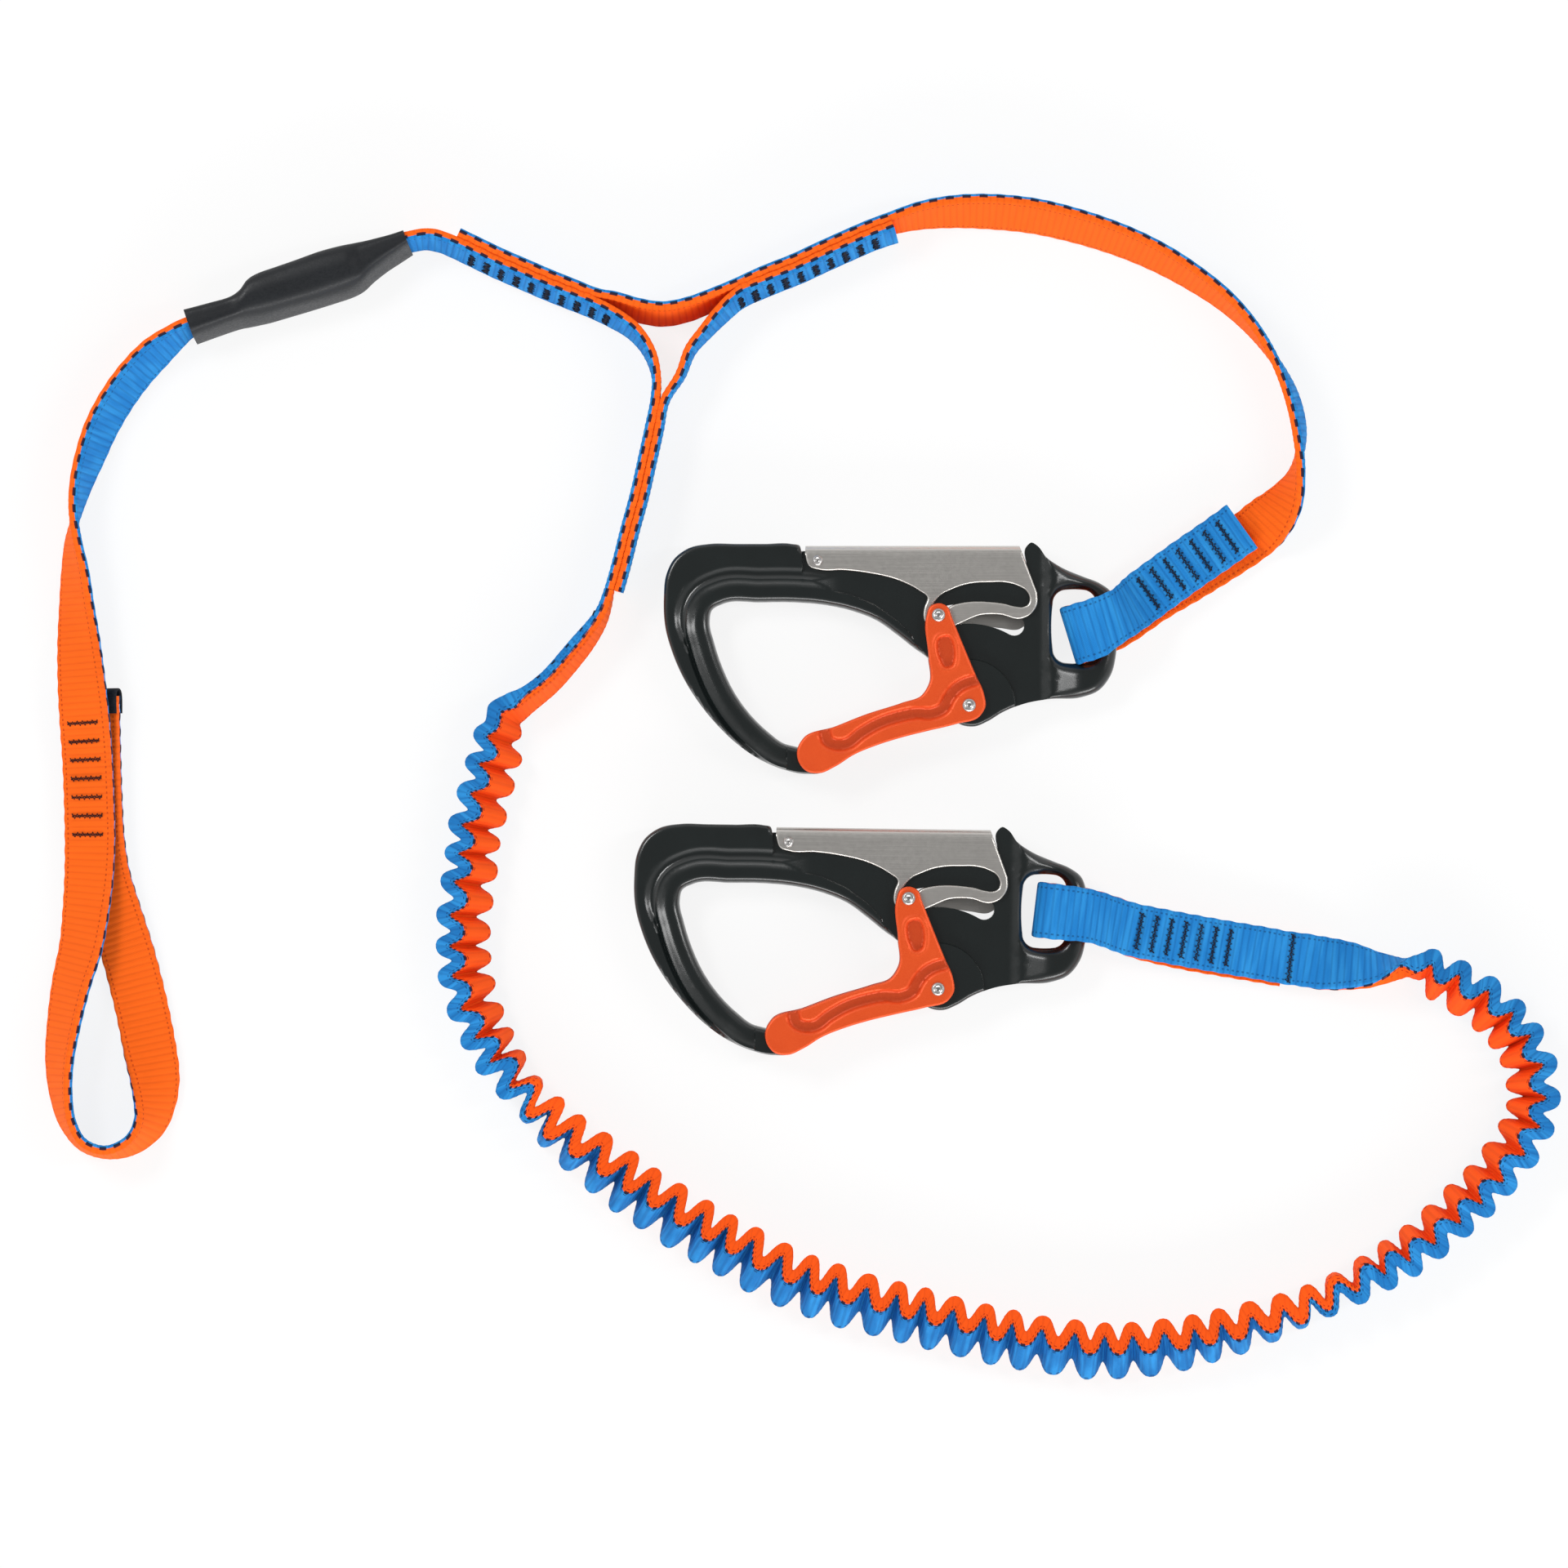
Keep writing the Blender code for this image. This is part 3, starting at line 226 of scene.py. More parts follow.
# the darkest orange and blue below are painted shade, mixed in where the ribs dip
ORANGE = (1.0, 0.142, 0.006)
ORANGE_DEEP = (1.0, 0.104, 0.004)
ORANGE_SHADE = (0.55, 0.030, 0.002)
BLUE = (0.010, 0.200, 0.580)
BLUE_DEEP = (0.008, 0.155, 0.460)
BLUE_SHADE = (0.004, 0.070, 0.260)
STITCH_BLUE = (0.003, 0.032, 0.120)
STITCH_ORANGE = (0.42, 0.014, 0.002)
BLUE_PALE = (0.035, 0.340, 0.780)
NAVY = (0.006, 0.010, 0.030)
TAU = 2 * math.pi


def webbing_finish(name, orange_front):
    """Two-faced woven webbing: ribs, yarns, stitched lines beside each edge and tracers, with painted
    shade in the valleys between the ribs.
    """
    f = Finish(name, Roughness=0.75, Specular_IOR_Level=0.16)
    along, across = f.uv("strap")
    depth, seam = f.uv("depth")
    full, _ = f.uv("gather")
    off_middle = f.calc("ABSOLUTE", across)
    from_seam = f.calc("SUBTRACT", depth, seam)
    off_seam = f.calc("ABSOLUTE", from_seam)

    def wave(value, pitch):
        return f.calc("SINE", f.calc("MULTIPLY", value, TAU / pitch))

    def both(a, b):
        return f.calc("MULTIPLY", a, b)

    def near(value, place, half):
        return f.fade(f.calc("ABSOLUTE", f.calc("SUBTRACT", value, place)), half, half * 0.6)

    rib = wave(along, RIB_PITCH)
    weave = f.calc("ADD", both(wave(across, 0.62), wave(along, 0.48)), both(rib, 0.45))
    bands = f.noise(f.vector(both(along, 0.42), both(across, 0.05)), 1.0, 2.0)
    fuzz = f.noise(f.vector(along, across, depth), 2.4, 3.0, 0.6)
    front = f.calc("GREATER_THAN", from_seam, 0.0)
    if not orange_front:
        front = f.calc("SUBTRACT", 1.0, front)
    shade = f.calc("ADD", f.fade(bands, 0.40, 0.66, 0.0, 0.55), both(fuzz, 0.22))
    # painted shade: the valleys between the ribs darken towards the darkest orange and blue
    rib_valley_shade = f.fade(rib, -0.2, -1.0, 0.0, 0.30)
    blue = f.mix(rib_valley_shade, f.mix(shade, f.mix(full, BLUE, BLUE_DEEP), BLUE_PALE), BLUE_SHADE)
    orange = f.mix(both(f.calc("ADD", rib_valley_shade, both(shade, 0.15)), 0.6),
                   f.mix(full, ORANGE, ORANGE_DEEP), ORANGE_SHADE)
    colour = f.mix(front, blue, orange)
    dark = f.mix(front, STITCH_BLUE, STITCH_ORANGE)
    # stitched lines on the faces beside the edges, two of them where the tube is gathered
    dash = f.fade(wave(f.calc("ADD", along, both(fuzz, 0.5)), 1.45), -0.1, 0.4)
    line = f.calc("MAXIMUM", near(off_middle, 6.3, 0.30), both(near(off_middle, 7.2, 0.34), full))
    strong = f.fade(full, 0.0, 1.0, 0.6, 0.95)
    colour = f.mix(both(both(line, dash), strong), colour, dark)
    # a fine line on the rim and the tracer threads where the two faces meet
    edge = f.fade(off_middle, 7.0, 7.3)
    rim_line = both(near(off_seam, 1.25, 0.24), both(both(edge, dash), full))
    colour = f.mix(both(rim_line, 0.75), colour, dark)
    patch = f.fade(f.noise(f.vector(both(along, 0.9), 0.0), 1.0, 1.0), 0.30, 0.42)
    long_stitch = both(f.fade(wave(along, SCALLOP_PITCH), -0.10, 0.15),
                       f.calc("SUBTRACT", 1.0, full))
    short_stitch = both(both(f.fade(wave(along, 1.9), -0.2, 0.2), patch), full)
    tracer = both(both(edge, f.fade(off_seam, 0.58, 0.40)),
                  f.calc("ADD", long_stitch, short_stitch))
    colour = f.mix(both(tracer, 0.96), colour, NAVY)
    f.colour(colour)
    f.bump(f.calc("ADD", weave, both(fuzz, 0.8)), 0.055, 0.8)
    return f.data


def thread_finish(name, colour):
    f = Finish(name, colour, Roughness=0.7, Specular_IOR_Level=0.2)
    place = f.millimetres()
    strands = f.noise(place, 3.0, 2.0)
    f.colour(f.mix(f.fade(strands, 0.35, 0.7), colour, tuple(c * 2.2 + 0.002 for c in colour)))
    f.bump(f.noise(place, 6.0, 2.0), 0.08, 0.8)
    return f.data


def body_finish():
    """Glossy black anodising over a fine blasted surface."""
    f = Finish("body_anodised_black", Coat_Weight=0.8, Coat_Roughness=0.20, Coat_IOR=1.55,
               Specular_IOR_Level=0.2)
    place = f.millimetres()
    grain = f.noise(place, 5.0, 3.0, 0.6)
    broad = f.noise(place, 0.12, 2.0)
    f.colour(f.mix(broad, (0.0035, 0.0060, 0.0060), (0.0065, 0.0100, 0.0100)))
    f.rough(f.fade(grain, 0.2, 0.8, 0.26, 0.38))
    f.bump(grain, 0.010, 0.5)
    return f.data


def gate_finish():
    """Satin orange anodising with a fine sparkle, and painted shade darkening whatever lies below the
    cheeks' outer faces.
    """
    f = Finish("gate_anodised_orange", Metallic=0.35)
    place = f.millimetres()
    grain = f.noise(place, 4.5, 3.0, 0.7)
    broad = f.noise(place, 0.15, 2.0)
    height = f.calc("ABSOLUTE", f.add("SeparateXYZ", {0: place}).outputs[2])
    plain = f.mix(broad, (0.74, 0.060, 0.005), (0.84, 0.080, 0.008))
    # painted shade: darker orange below the outer faces, in the channel and pocket floors, on rounded
    # edges and on the inner faces
    deep = f.fade(height, CHEEK_OUTER - 1.1, CHEEK_OUTER - 0.25, 0.34, 0.0)
    f.colour(f.mix(deep, f.mix(f.fade(grain, 0.3, 0.75, 0.0, 0.40), plain, (0.95, 0.17, 0.03)),
                   (0.22, 0.012, 0.002)))
    f.rough(f.fade(grain, 0.2, 0.8, 0.36, 0.5))
    f.bump(grain, 0.02, 0.6)
    return f.data


def steel_finish(name, colour, along_scale=0.35, roughness=0.28):
    """Rolled sheet: faint streaks along the clip and a few handling marks."""
    f = Finish(name, Metallic=1.0)
    place = f.add("SeparateXYZ", {0: f.millimetres()})
    streaks = f.noise(f.vector(f.calc("MULTIPLY", place.outputs[0], along_scale * 0.1),
                               f.calc("MULTIPLY", place.outputs[1], 6.0), place.outputs[2]),
                      1.0, 3.0, 0.6)
    marks = f.noise(f.vector(*place.outputs), 0.9, 4.0, 0.7)
    pale = tuple(min(1.0, c * 1.10) for c in colour)
    f.colour(f.mix(f.fade(streaks, 0.3, 0.7), colour, pale))
    f.rough(f.fade(f.calc("ADD", f.calc("MULTIPLY", streaks, 0.5), f.calc("MULTIPLY", marks, 0.5)),
                   0.3, 0.7, roughness - 0.02, roughness + 0.05))
    f.bump(f.calc("ADD", f.calc("MULTIPLY", streaks, 0.25), f.fade(marks, 0.70, 0.85)), 0.004, 0.3)
    return f.data


def sleeve_finish():
    """Shrunk polymer tube: charcoal, faintly wrinkled, semi-matt."""
    f = Finish("sleeve_shrunk", Coat_Weight=0.10, Coat_Roughness=0.3, Specular_IOR_Level=0.3)
    place = f.millimetres()
    broad = f.noise(place, 0.11, 2.0)
    skin = f.noise(place, 1.6, 4.0, 0.6)
    f.colour(f.mix(broad, (0.006, 0.007, 0.009), (0.012, 0.014, 0.017)))
    f.rough(f.fade(skin, 0.3, 0.7, 0.40, 0.58))
    f.bump(f.calc("ADD", f.calc("MULTIPLY", broad, 1.5), f.calc("MULTIPLY", skin, 0.25)), 0.25, 0.6)
    return f.data


def rubber_finish():
    f = Finish("elastic_rubber", Roughness=0.7)
    place = f.millimetres()
    f.colour(f.mix(f.noise(place, 1.5), (0.55, 0.5, 0.42), (0.68, 0.63, 0.54)))
    f.bump(f.noise(place, 5.0), 0.05)
    return f.data


FINISHES = {
    "orange": webbing_finish("webbing_orange_front", True),
    "blue": webbing_finish("webbing_blue_front", False),
    "thread": thread_finish("thread_navy", (0.006, 0.009, 0.020)),
    "brown": thread_finish("thread_brown", (0.030, 0.006, 0.004)),
    "tape": thread_finish("end_tape_black", (0.008, 0.009, 0.012)),
    "body": body_finish(),
    "gate": gate_finish(),
    "plate": steel_finish("plate_sheet_steel", (0.58, 0.56, 0.53), roughness=0.36),
    "pin": steel_finish("pin_steel_turned", (0.42, 0.41, 0.40), roughness=0.3),
    "spring": steel_finish("spring_steel_wire", (0.5, 0.5, 0.5)),
    "sleeve": sleeve_finish(),
    "rubber": rubber_finish(),
}


def linked(name, data):
    item = bpy.data.objects.new(name, data)
    bpy.context.scene.collection.objects.link(item)
    return item


def shaded(mesh, sharp):
    """Smooth shading, broken where faces meet at more than sharp degrees."""
    mesh.polygons.foreach_set("use_smooth", [True] * len(mesh.polygons))
    mesh.set_sharp_from_angle(angle=math.radians(sharp))


def put(name, mesh, finish):
    item = linked(name, mesh)
    mesh.materials.append(FINISHES[finish])
    return item


def finished(item, body, slot, *nodes):
    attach(item, body)
    if nodes:
        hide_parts(*nodes)
    return item


# Webbing routes
def floor_point(px, py, z=0.0):
    return Vector(((px - CLIPS_MIDDLE[0]) * PIXEL, (CLIPS_MIDDLE[1] - py) * PIXEL, z))


def rest_height(lean, width, thick):
    angle = math.radians(lean)
    return width / 2 * abs(math.cos(angle)) + thick / 2 * abs(math.sin(angle)) + FLOOR_SPARE


def spline(a, b, c, d, t):
    """Value and slope, between b and c, of a smooth curve through four values in a row."""
    value = 0.5 * (2 * b + (c - a) * t + (2 * a - 5 * b + 4 * c - d) * t * t
                   + (3 * b - a - 3 * c + d) * t ** 3)
    slope = 0.5 * ((c - a) + 2 * (2 * a - 5 * b + 4 * c - d) * t
                   + 3 * (3 * b - a - 3 * c + d) * t * t)
    return value, slope


def sample(route, step, lead=0, trail=0):
    """Floor points, leans, lifts and directions about every step along a route."""
    rows = [(*floor_point(r[0], r[1])[:2], r[2], r[3] * MM if len(r) > 3 else 0.0) for r in route]
    last = len(rows) - 1
    marks = []
    for i in range(lead, last - trail):
        parts = max(1, round(math.dist(rows[i][:2], rows[i + 1][:2]) / step))
        marks += [(i, k / parts) for k in range(parts)]
    marks.append((last - trail - 1, 1.0))
    out = []
    for i, t in marks:
        four = (rows[max(i - 1, 0)], rows[i], rows[i + 1], rows[min(i + 2, last)])
        (x, dx), (y, dy), (lean, _), (lift, _) = (spline(*(row[j] for row in four), t)
                                                  for j in range(4))
        out.append((Vector((x, y, 0)), lean, lift, Vector((dx, dy, 0)).normalized()))
    return out


def length_of(points):
    return sum((b - a).length for a, b in zip(points, points[1:]))


def directions(points):
    last = len(points) - 1
    return [(points[min(i + 1, last)] - points[max(i - 1, 0)]).normalized()
            for i in range(len(points))]


def leaning(direction, lean):
    """Width and face directions of a strap that runs along direction on its edge."""
    side = Vector((0, 0, 1)).cross(direction).normalized()
    angle = math.radians(lean)
    across = Vector((0, 0, math.cos(angle))) + side * math.sin(angle)
    normal = side * math.cos(angle) - Vector((0, 0, math.sin(angle)))
    return across, normal


def lay(route, step=STATION, lead=0, trail=0):
    stations = []
    for point, lean, lift, direction in sample(route, step, lead, trail):
        across, normal = leaning(direction, lean)
        point.z = rest_height(lean, WEB_WIDTH, WEB_THICK) + lift
        stations.append(Station(point, across, normal))
    return stations


def beside(stations, distance):
    return [Station(s.point + s.normal * distance, s.across, s.normal) for s in stations]


def turned(stations):
    return [Station(s.point, s.across, -s.normal) for s in reversed(stations)]


def standing(points, across):
    return [Station(p, across, across.cross(d).normalized())
            for p, d in zip(points, directions(points))]


def at(stations, distance):
    """The station at a distance along a stretch."""
    for a, b in zip(stations, stations[1:]):
        run = (b.point - a.point).length
        if distance <= run:
            t = distance / run
            return Station(a.point.lerp(b.point, t), a.across.lerp(b.across, t).normalized(),
                           a.normal.lerp(b.normal, t).normalized())
        distance -= run
    return stations[-1]


def distance_to(stations, px, py, after=0.0):
    """Distance along a stretch to where it passes nearest a photograph point."""
    mark = floor_point(px, py)
    walked, best = 0.0, None
    for a, b in zip(stations, stations[1:]):
        start = Vector((a.point.x, a.point.y, 0))
        end = Vector((b.point.x, b.point.y, 0))
        run = (b.point - a.point).length
        share = 0.0
        if (end - start).length > 1e-9:
            share = (mark - start).dot(end - start) / (end - start).length_squared
        share = max(0.0, min(1.0, share))
        off = (start.lerp(end, share) - mark).length
        if walked >= after and (best is None or off < best[0]):
            best = (off, walked + run * share)
        walked += run
    return best[1]


def gathers(steps, scale=1.0):
    """The gathered stretch: its line with rounded waves standing across its faces."""
    rows = sample([LEG_LEAD[-1]] + LEG_GATHERS + [LEG_FLAT[0]], 2 * MM, 1, 1)
    runs = [0.0]
    for a, b in zip(rows, rows[1:]):
        runs.append(runs[-1] + (b[0] - a[0]).length)
    pitch = runs[-1] / WAVES
    out = []
    i = 0
    for number in range(WAVES * steps):
        share = number / steps
        uneven = 0.10 * math.sin(1.9 * share + 0.6) + 0.06 * math.sin(0.77 * share)
        mark = min(runs[-1] - 1e-7, max(0.0, (share + uneven * 0.5) * pitch))
        while runs[i + 1] < mark:
            i += 1
        while runs[i] > mark:
            i -= 1
        t = (mark - runs[i]) / (runs[i + 1] - runs[i])
        grown = min(1.0, (share + 0.3) / WAVE_RAMP, (WAVES - share + 0.3) / WAVE_END_RAMP)
        lean = rows[i][1] + (rows[i + 1][1] - rows[i][1]) * t
        ahead = rows[i][3].lerp(rows[i + 1][3], t).normalized()
        across, normal = leaning(ahead, lean)
        height = float(np.interp(share, *zip(*WAVE_HEIGHTS))) * MM * scale
        swing = height / 2 * grown * (1 + 0.05 * math.sin(2.3 * int(share) + 1))
        phase = TAU * share
        wave = (math.sin(phase) + WAVE_FLAT * math.sin(3 * phase)) / (1 - WAVE_FLAT)
        middle = rows[i][0].lerp(rows[i + 1][0], t)
        middle -= Vector((across.x, across.y, 0)) * WAVE_SETTLE * grown
        middle.z = (rest_height(lean, WEB_WIDTH * (1 - GATHER_NARROW), SKIN_THICK * (1 + GATHER_FULL))
                    + height / 2 * grown * abs(math.sin(math.radians(lean))))
        spread = WAVE_SWELL * grown * scale * math.cos(phase)
        out.append(Station(middle + normal * swing * wave, across, normal - ahead * spread, 1.0))
    return out


def filling(stations, start, way):
    """The stations with the tube's fullness faded out from a distance along them."""
    out, walked = [], 0.0
    for i, s in enumerate(stations):
        if i:
            walked += (s.point - stations[i - 1].point).length
        out.append(s._replace(gather=min(1.0, max(0.0, way * (walked - start) / GATHER_FADE))))
    return out


# Routes: photograph point, lean of the strap from upright in degrees, lift in millimetres
HAND_LOOP = [(117, 853, -110, 1.1), (118, 915, -110, 0.1), (120, 980, -110), (123, 1030, -110),
             (129, 1072, -107), (141, 1115, -102), (158, 1170, -96), (174, 1234, -88),
             (185, 1288, -74), (191, 1322, -58), (191, 1350, -42), (185, 1376, -28),
             (166, 1399, -15), (132, 1410, -7), (103, 1400, -8), (86, 1376, -13),
             (77, 1340, -20), (75, 1300, -27), (80, 1255, -34), (89, 1205, -42),
             (101, 1158, -50, 0.4), (107, 1115, -57, 1.2), (111, 1070, -64, 2.2),
             (112, 1030, -68, 2.5), (111, 980, -68, 2.5), (109, 930, -68, 2.7),
             (106, 880, -67, 5.0), (103, 840, -61, 5.0), (99, 790, -50, 2.0), (96, 745, -37),
             (94, 700, -26), (92, 660, -12), (95, 625, 3), (102, 592, 14), (112, 561, 22),
             (125, 527, 27), (144, 492, 29), (167, 460, 29), (195, 431, 26, 0.6),
             (215, 415, 18, 1.1)]
ARM_LEFT_LEAD = [(526, 295, 13, 1.1), (541, 298, 13, 0.9)]
ARM_LEFT = [(556, 304, 13, 0.8), (579, 315, 13, 0.8), (608, 329, 13, 0.8), (638, 342, 13, 0.8),
            (668, 355, 13, 0.8), (698, 367, 13, 0.8), (726, 378, 13, 0.8)]
ARM_TO_STEM = [(752, 391, 12, 0.5), (777, 408, 9), (795, 432, 5), (804, 462, 1)]
STEM = [(803, 490, 0), (796, 525, 0), (787, 566, 0), (778, 606, 0), (766, 650, 0),
        (756, 690, 0), (747, 722, 0)]
SHORT_BRIDGE = [(752, 372, 14), (780, 381, 16), (812, 386, 17), (844, 380, 16), (872, 369, 14)]
ARM_RIGHT = [(900, 357, 13), (935, 341, 13), (975, 325, 13), (1005, 311, 13), (1034, 298, 13),
             (1064, 285, 13), (1092, 275, 14)]
SHORT_ARC = [(1125, 266, 20), (1165, 261, 26), (1215, 261, 30), (1270, 267, 30),
             (1346, 287, 27), (1422, 319, 22), (1499, 370, 12), (1550, 427, 0), (1580, 486, -10),
             (1590, 536, -8), (1586, 580, 8), (1572, 612, 36, 0.3), (1552, 637, 66, 0.4),
             (1530, 657, 90, 0.3)]
SHORT_LOWER = [(1500, 677, 90, 0.4), (1453, 706, 90, 0.7), (1412, 730, 90, 1.0)]
SHORT_UPPER = [(1402, 729, -90, 5.5), (1453, 692, -90, 4.8), (1485, 670, -90, 4.3),
               (1520, 645, -90, 4.1)]
BRIDGE_TURN = [(883, 387, -10), (864, 408, -6), (846, 430, -3), (834, 460, -1)]
LEG_LEAD = [(746.8, 722.4, 0), (740, 747, -3), (729, 768, -8), (707, 797, -12),
            (677, 832, -13), (652, 853, -15), (632, 866, -19)]
LEG_GATHERS = [(617, 876, -28), (603, 910, -33), (592, 948, -34), (582, 984, -34),
               (573, 1022, -34), (569, 1059, -34), (563, 1097, -34), (560, 1133, -34),
               (560, 1173, -33), (566, 1210, -32), (579, 1246, -28), (597, 1281, -20),
               (621, 1313, -10), (647, 1341, 0), (676, 1368, 10), (706, 1393, 20),
               (738, 1416, 27), (770, 1439, 32), (801, 1460, 35), (849, 1490, 36),
               (917, 1528, 36), (985, 1561, 36), (1061, 1585, 36), (1137, 1604, 36),
               (1212, 1623, 36), (1288, 1637, 36), (1350, 1643, 36), (1404, 1641, 34),
               (1463, 1632, 28), (1520, 1619, 20), (1576, 1603, 10), (1633, 1583, 0),
               (1690, 1556, -10), (1741, 1525, -18), (1783, 1490, -22), (1824, 1451, -24),
               (1850, 1420, -25), (1871, 1387, -26), (1882, 1354, -27), (1882, 1321, -28),
               (1872, 1285, -29), (1853, 1254, -30), (1826, 1226, -29), (1793, 1206, -26),
               (1764, 1189, -24), (1738, 1182, -14)]
LEG_FLAT = [(1722, 1184, -2), (1702, 1185, 16), (1676, 1185, 38), (1648, 1182, 58, 0.3),
            (1618, 1179, 78, 1.8), (1594, 1175, 89, 3.0), (1578, 1173, 90, 3.5)]
LEG_UPPER = [(1545, 1167, 90, 3.6), (1503, 1160, 90, 4.0), (1447, 1150, 90, 4.9),
             (1390, 1139, 90, 5.4)]
LEG_LOWER = [(1400, 1143, -90, 1.0), (1447, 1154, -90, 0.7), (1503, 1164, -90, 0.4),
             (1545, 1171, -90, 0.2), (1572, 1176, -90, 0.1)]


def clip_matrix(tag):
    return (Matrix.Translation(floor_point(*PIVOTS[tag], CLIP_HEIGHT))
            @ Matrix.Rotation(math.radians(TURNS[tag]), 4, "Z"))


def heading(degrees):
    return Vector((math.cos(math.radians(degrees)), math.sin(math.radians(degrees)), 0))


def eye_turn(tag, upward, steps=10):
    """The webbing's half turn over an eye's bow, from one layer to the other."""
    place = clip_matrix(tag)
    middle, slant, skew, slack = EYE_TURNS[tag]
    out_of = heading(TURNS[tag] + slant)
    side = Vector((0, 0, 1)).cross(out_of)
    centre = place @ Vector((middle[0] * MM, middle[1] * MM, 0))
    radius = RING_HALF * MM + GAP + slack + WEB_THICK / 2
    sign = 1 if upward else -1
    rounds = []
    for k in range(steps + 1):
        angle = math.pi * k / steps
        rounds.append(centre - out_of * radius * math.sin(angle)
                      - Vector((0, 0, sign * radius * math.cos(angle))))
    span = (EYE_BAR[0] + RING_HALF + 0.3 - middle[0]) * MM
    rise = Vector((0, 0, sign * EYE_RISE))
    before = rounds[0] + out_of * span - rise
    after = rounds[-1] + heading(TURNS[tag] + skew) * span + rise
    turn = standing([before] + rounds + [after], -side)
    spread = [s._replace(across=s.across * EYE_SPREAD[tag]) for s in turn[1:-1]]
    return turn[:1] + spread + turn[-1:]


def hermite(t, run):
    """Weights at t of a stretch's two ends, and of the slopes there."""
    return (2 * t ** 3 - 3 * t * t + 1, 3 * t * t - 2 * t ** 3,
            (t ** 3 - 2 * t * t + t) * run, (t ** 3 - t * t) * run)


def smooth(stations, step):
    """The same stretch resampled about every step on a smooth curve through its stations."""
    kept = [stations[0]]
    for s in stations[1:]:
        if (s.point - kept[-1].point).length > 0.2 * MM:
            kept.append(s)
    values = np.array([(*s.point, *s.across, *s.normal, s.gather, s.across.length) for s in kept])
    runs = np.linalg.norm(np.diff(values[:, :3], axis=0), axis=1)
    rate = np.diff(values, axis=0) / runs[:, None]
    inner = ((rate[1:] * runs[:-1, None] + rate[:-1] * runs[1:, None])
             / (runs[1:] + runs[:-1])[:, None])
    slopes = np.vstack([rate[:1], inner, rate[-1:]])
    out = []
    for i, run in enumerate(runs):
        count = max(1, round(run / step))
        for k in range(count + (i == len(runs) - 1)):
            a, b, c, d = hermite(k / count, run)
            row = a * values[i] + b * values[i + 1] + c * slopes[i] + d * slopes[i + 1]
            out.append(Station(Vector(row[:3]), Vector(row[3:6]).normalized() * row[10],
                               Vector(row[6:9]).normalized(), min(1.0, max(0.0, row[9]))))
    return out


# a strap's section, as shares of its half width and half thickness: one face, one selvedge
FACE_POINTS = (-0.90, -0.62, -0.31, 0.0, 0.31, 0.62, 0.90)
SELVEDGE = [(0.972, 0.95), (0.995, 0.68), (1.0, 0.0), (0.995, -0.68), (0.972, -0.95)]


def section(width, thick):
    """Points round a strap's section: flat faces and rounded selvedges, as (across, depth)."""
    half, deep = width / 2, thick / 2
    upper = [(a * half, deep) for a in FACE_POINTS] + [(half * a, deep * b) for a, b in SELVEDGE]
    return upper + [(-a, -b) for a, b in upper]


def strap(name, stations, finish, width=WEB_WIDTH, thick=SKIN_THICK, ribs=True, ends=True):
    """Woven strap swept along stations, ribbed on its faces and scalloped at its edges."""
    ring = np.array(section(width, thick))
    points = np.array([s.point for s in stations])
    across = np.array([s.across for s in stations])
    normal = np.array([s.normal for s in stations])
    runs = np.concatenate([[0.0], np.cumsum(np.linalg.norm(np.diff(points, axis=0), axis=1))])
    along = runs / MM
    full = np.array([s.gather for s in stations])[:, None]
    a = np.broadcast_to(ring[:, 0], (len(points), len(ring))).copy()
    uv_across = a / MM
    a = a * (1 - GATHER_NARROW * full)
    b = ring[None, :, 1] * (1 + GATHER_FULL * full)
    uv_depth = b / MM
    shown = SEAM_SHIFT * np.clip(normal[:, 2] / 0.14, -1, 1)
    flat = np.clip((np.abs(normal[:, 2]) - 0.5) / 0.3, 0, 1)
    to_blue = -1 if finish == "orange" else 1
    plain = SEAM_PLAIN * (to_blue * (1 - flat) - flat * np.sign(normal[:, 2]))
    seam = thick / 2 / MM * (1 + GATHER_FULL * full[:, 0])
    seam *= plain + (shown - plain) * full[:, 0]
    if ribs:
        on_face = np.abs(ring[:, 1]) > thick * 0.49
        at_edge = np.abs(ring[:, 0]) > width * 0.47
        rib = np.sin(along * TAU / RIB_PITCH)[:, None] * RIB_HEIGHT * MM
        scallop = np.sin(along * TAU / SCALLOP_PITCH + 0.6)[:, None] * SCALLOP * MM / 2
        b += np.where(on_face, np.sign(ring[:, 1]), 0.0) * rib
        a += np.where(at_edge, np.sign(ring[:, 0]), 0.0) * (scallop - SCALLOP * MM / 2)
    grid = points[:, None, :] + across[:, None, :] * a[..., None] + normal[:, None, :] * b[..., None]
    count = len(ring)
    verts = grid.reshape(-1, 3)
    rows = np.arange(len(points) - 1)[:, None] * count
    here = np.arange(count)[None, :]
    there = (here + 1) % count
    quads = np.stack([rows + here, rows + there, rows + count + there, rows + count + here],
                     axis=-1).reshape(-1, 4)
    faces = quads.tolist()
    if ends:
        last = (len(points) - 1) * count
        faces += [list(range(count))[::-1], list(range(last, last + count))]
    mesh = bpy.data.meshes.new(name)
    mesh.from_pydata(verts.tolist(), [], faces)
    loops = np.zeros(len(mesh.loops), int)
    mesh.loops.foreach_get("vertex_index", loops)
    for label, first, second in (("strap", np.repeat(along, count), uv_across.reshape(-1)),
                                 ("depth", uv_depth.reshape(-1), np.repeat(seam, count)),
                                 ("gather", np.repeat(full, count), np.zeros(len(verts)))):
        layer = mesh.uv_layers.new(name=label)
        layer.data.foreach_set("uv", np.stack([first[loops], second[loops]], axis=-1)
                               .astype(np.float32).reshape(-1))
    if mesh_volume(mesh) < 0:
        mesh.flip_normals()
    shaded(mesh, sharp=60)
    return put(name, mesh, finish)


def mesh_volume(mesh):
    work = bmesh.new()
    work.from_mesh(mesh)
    volume = work.calc_volume(signed=True)
    work.free()
    return volume


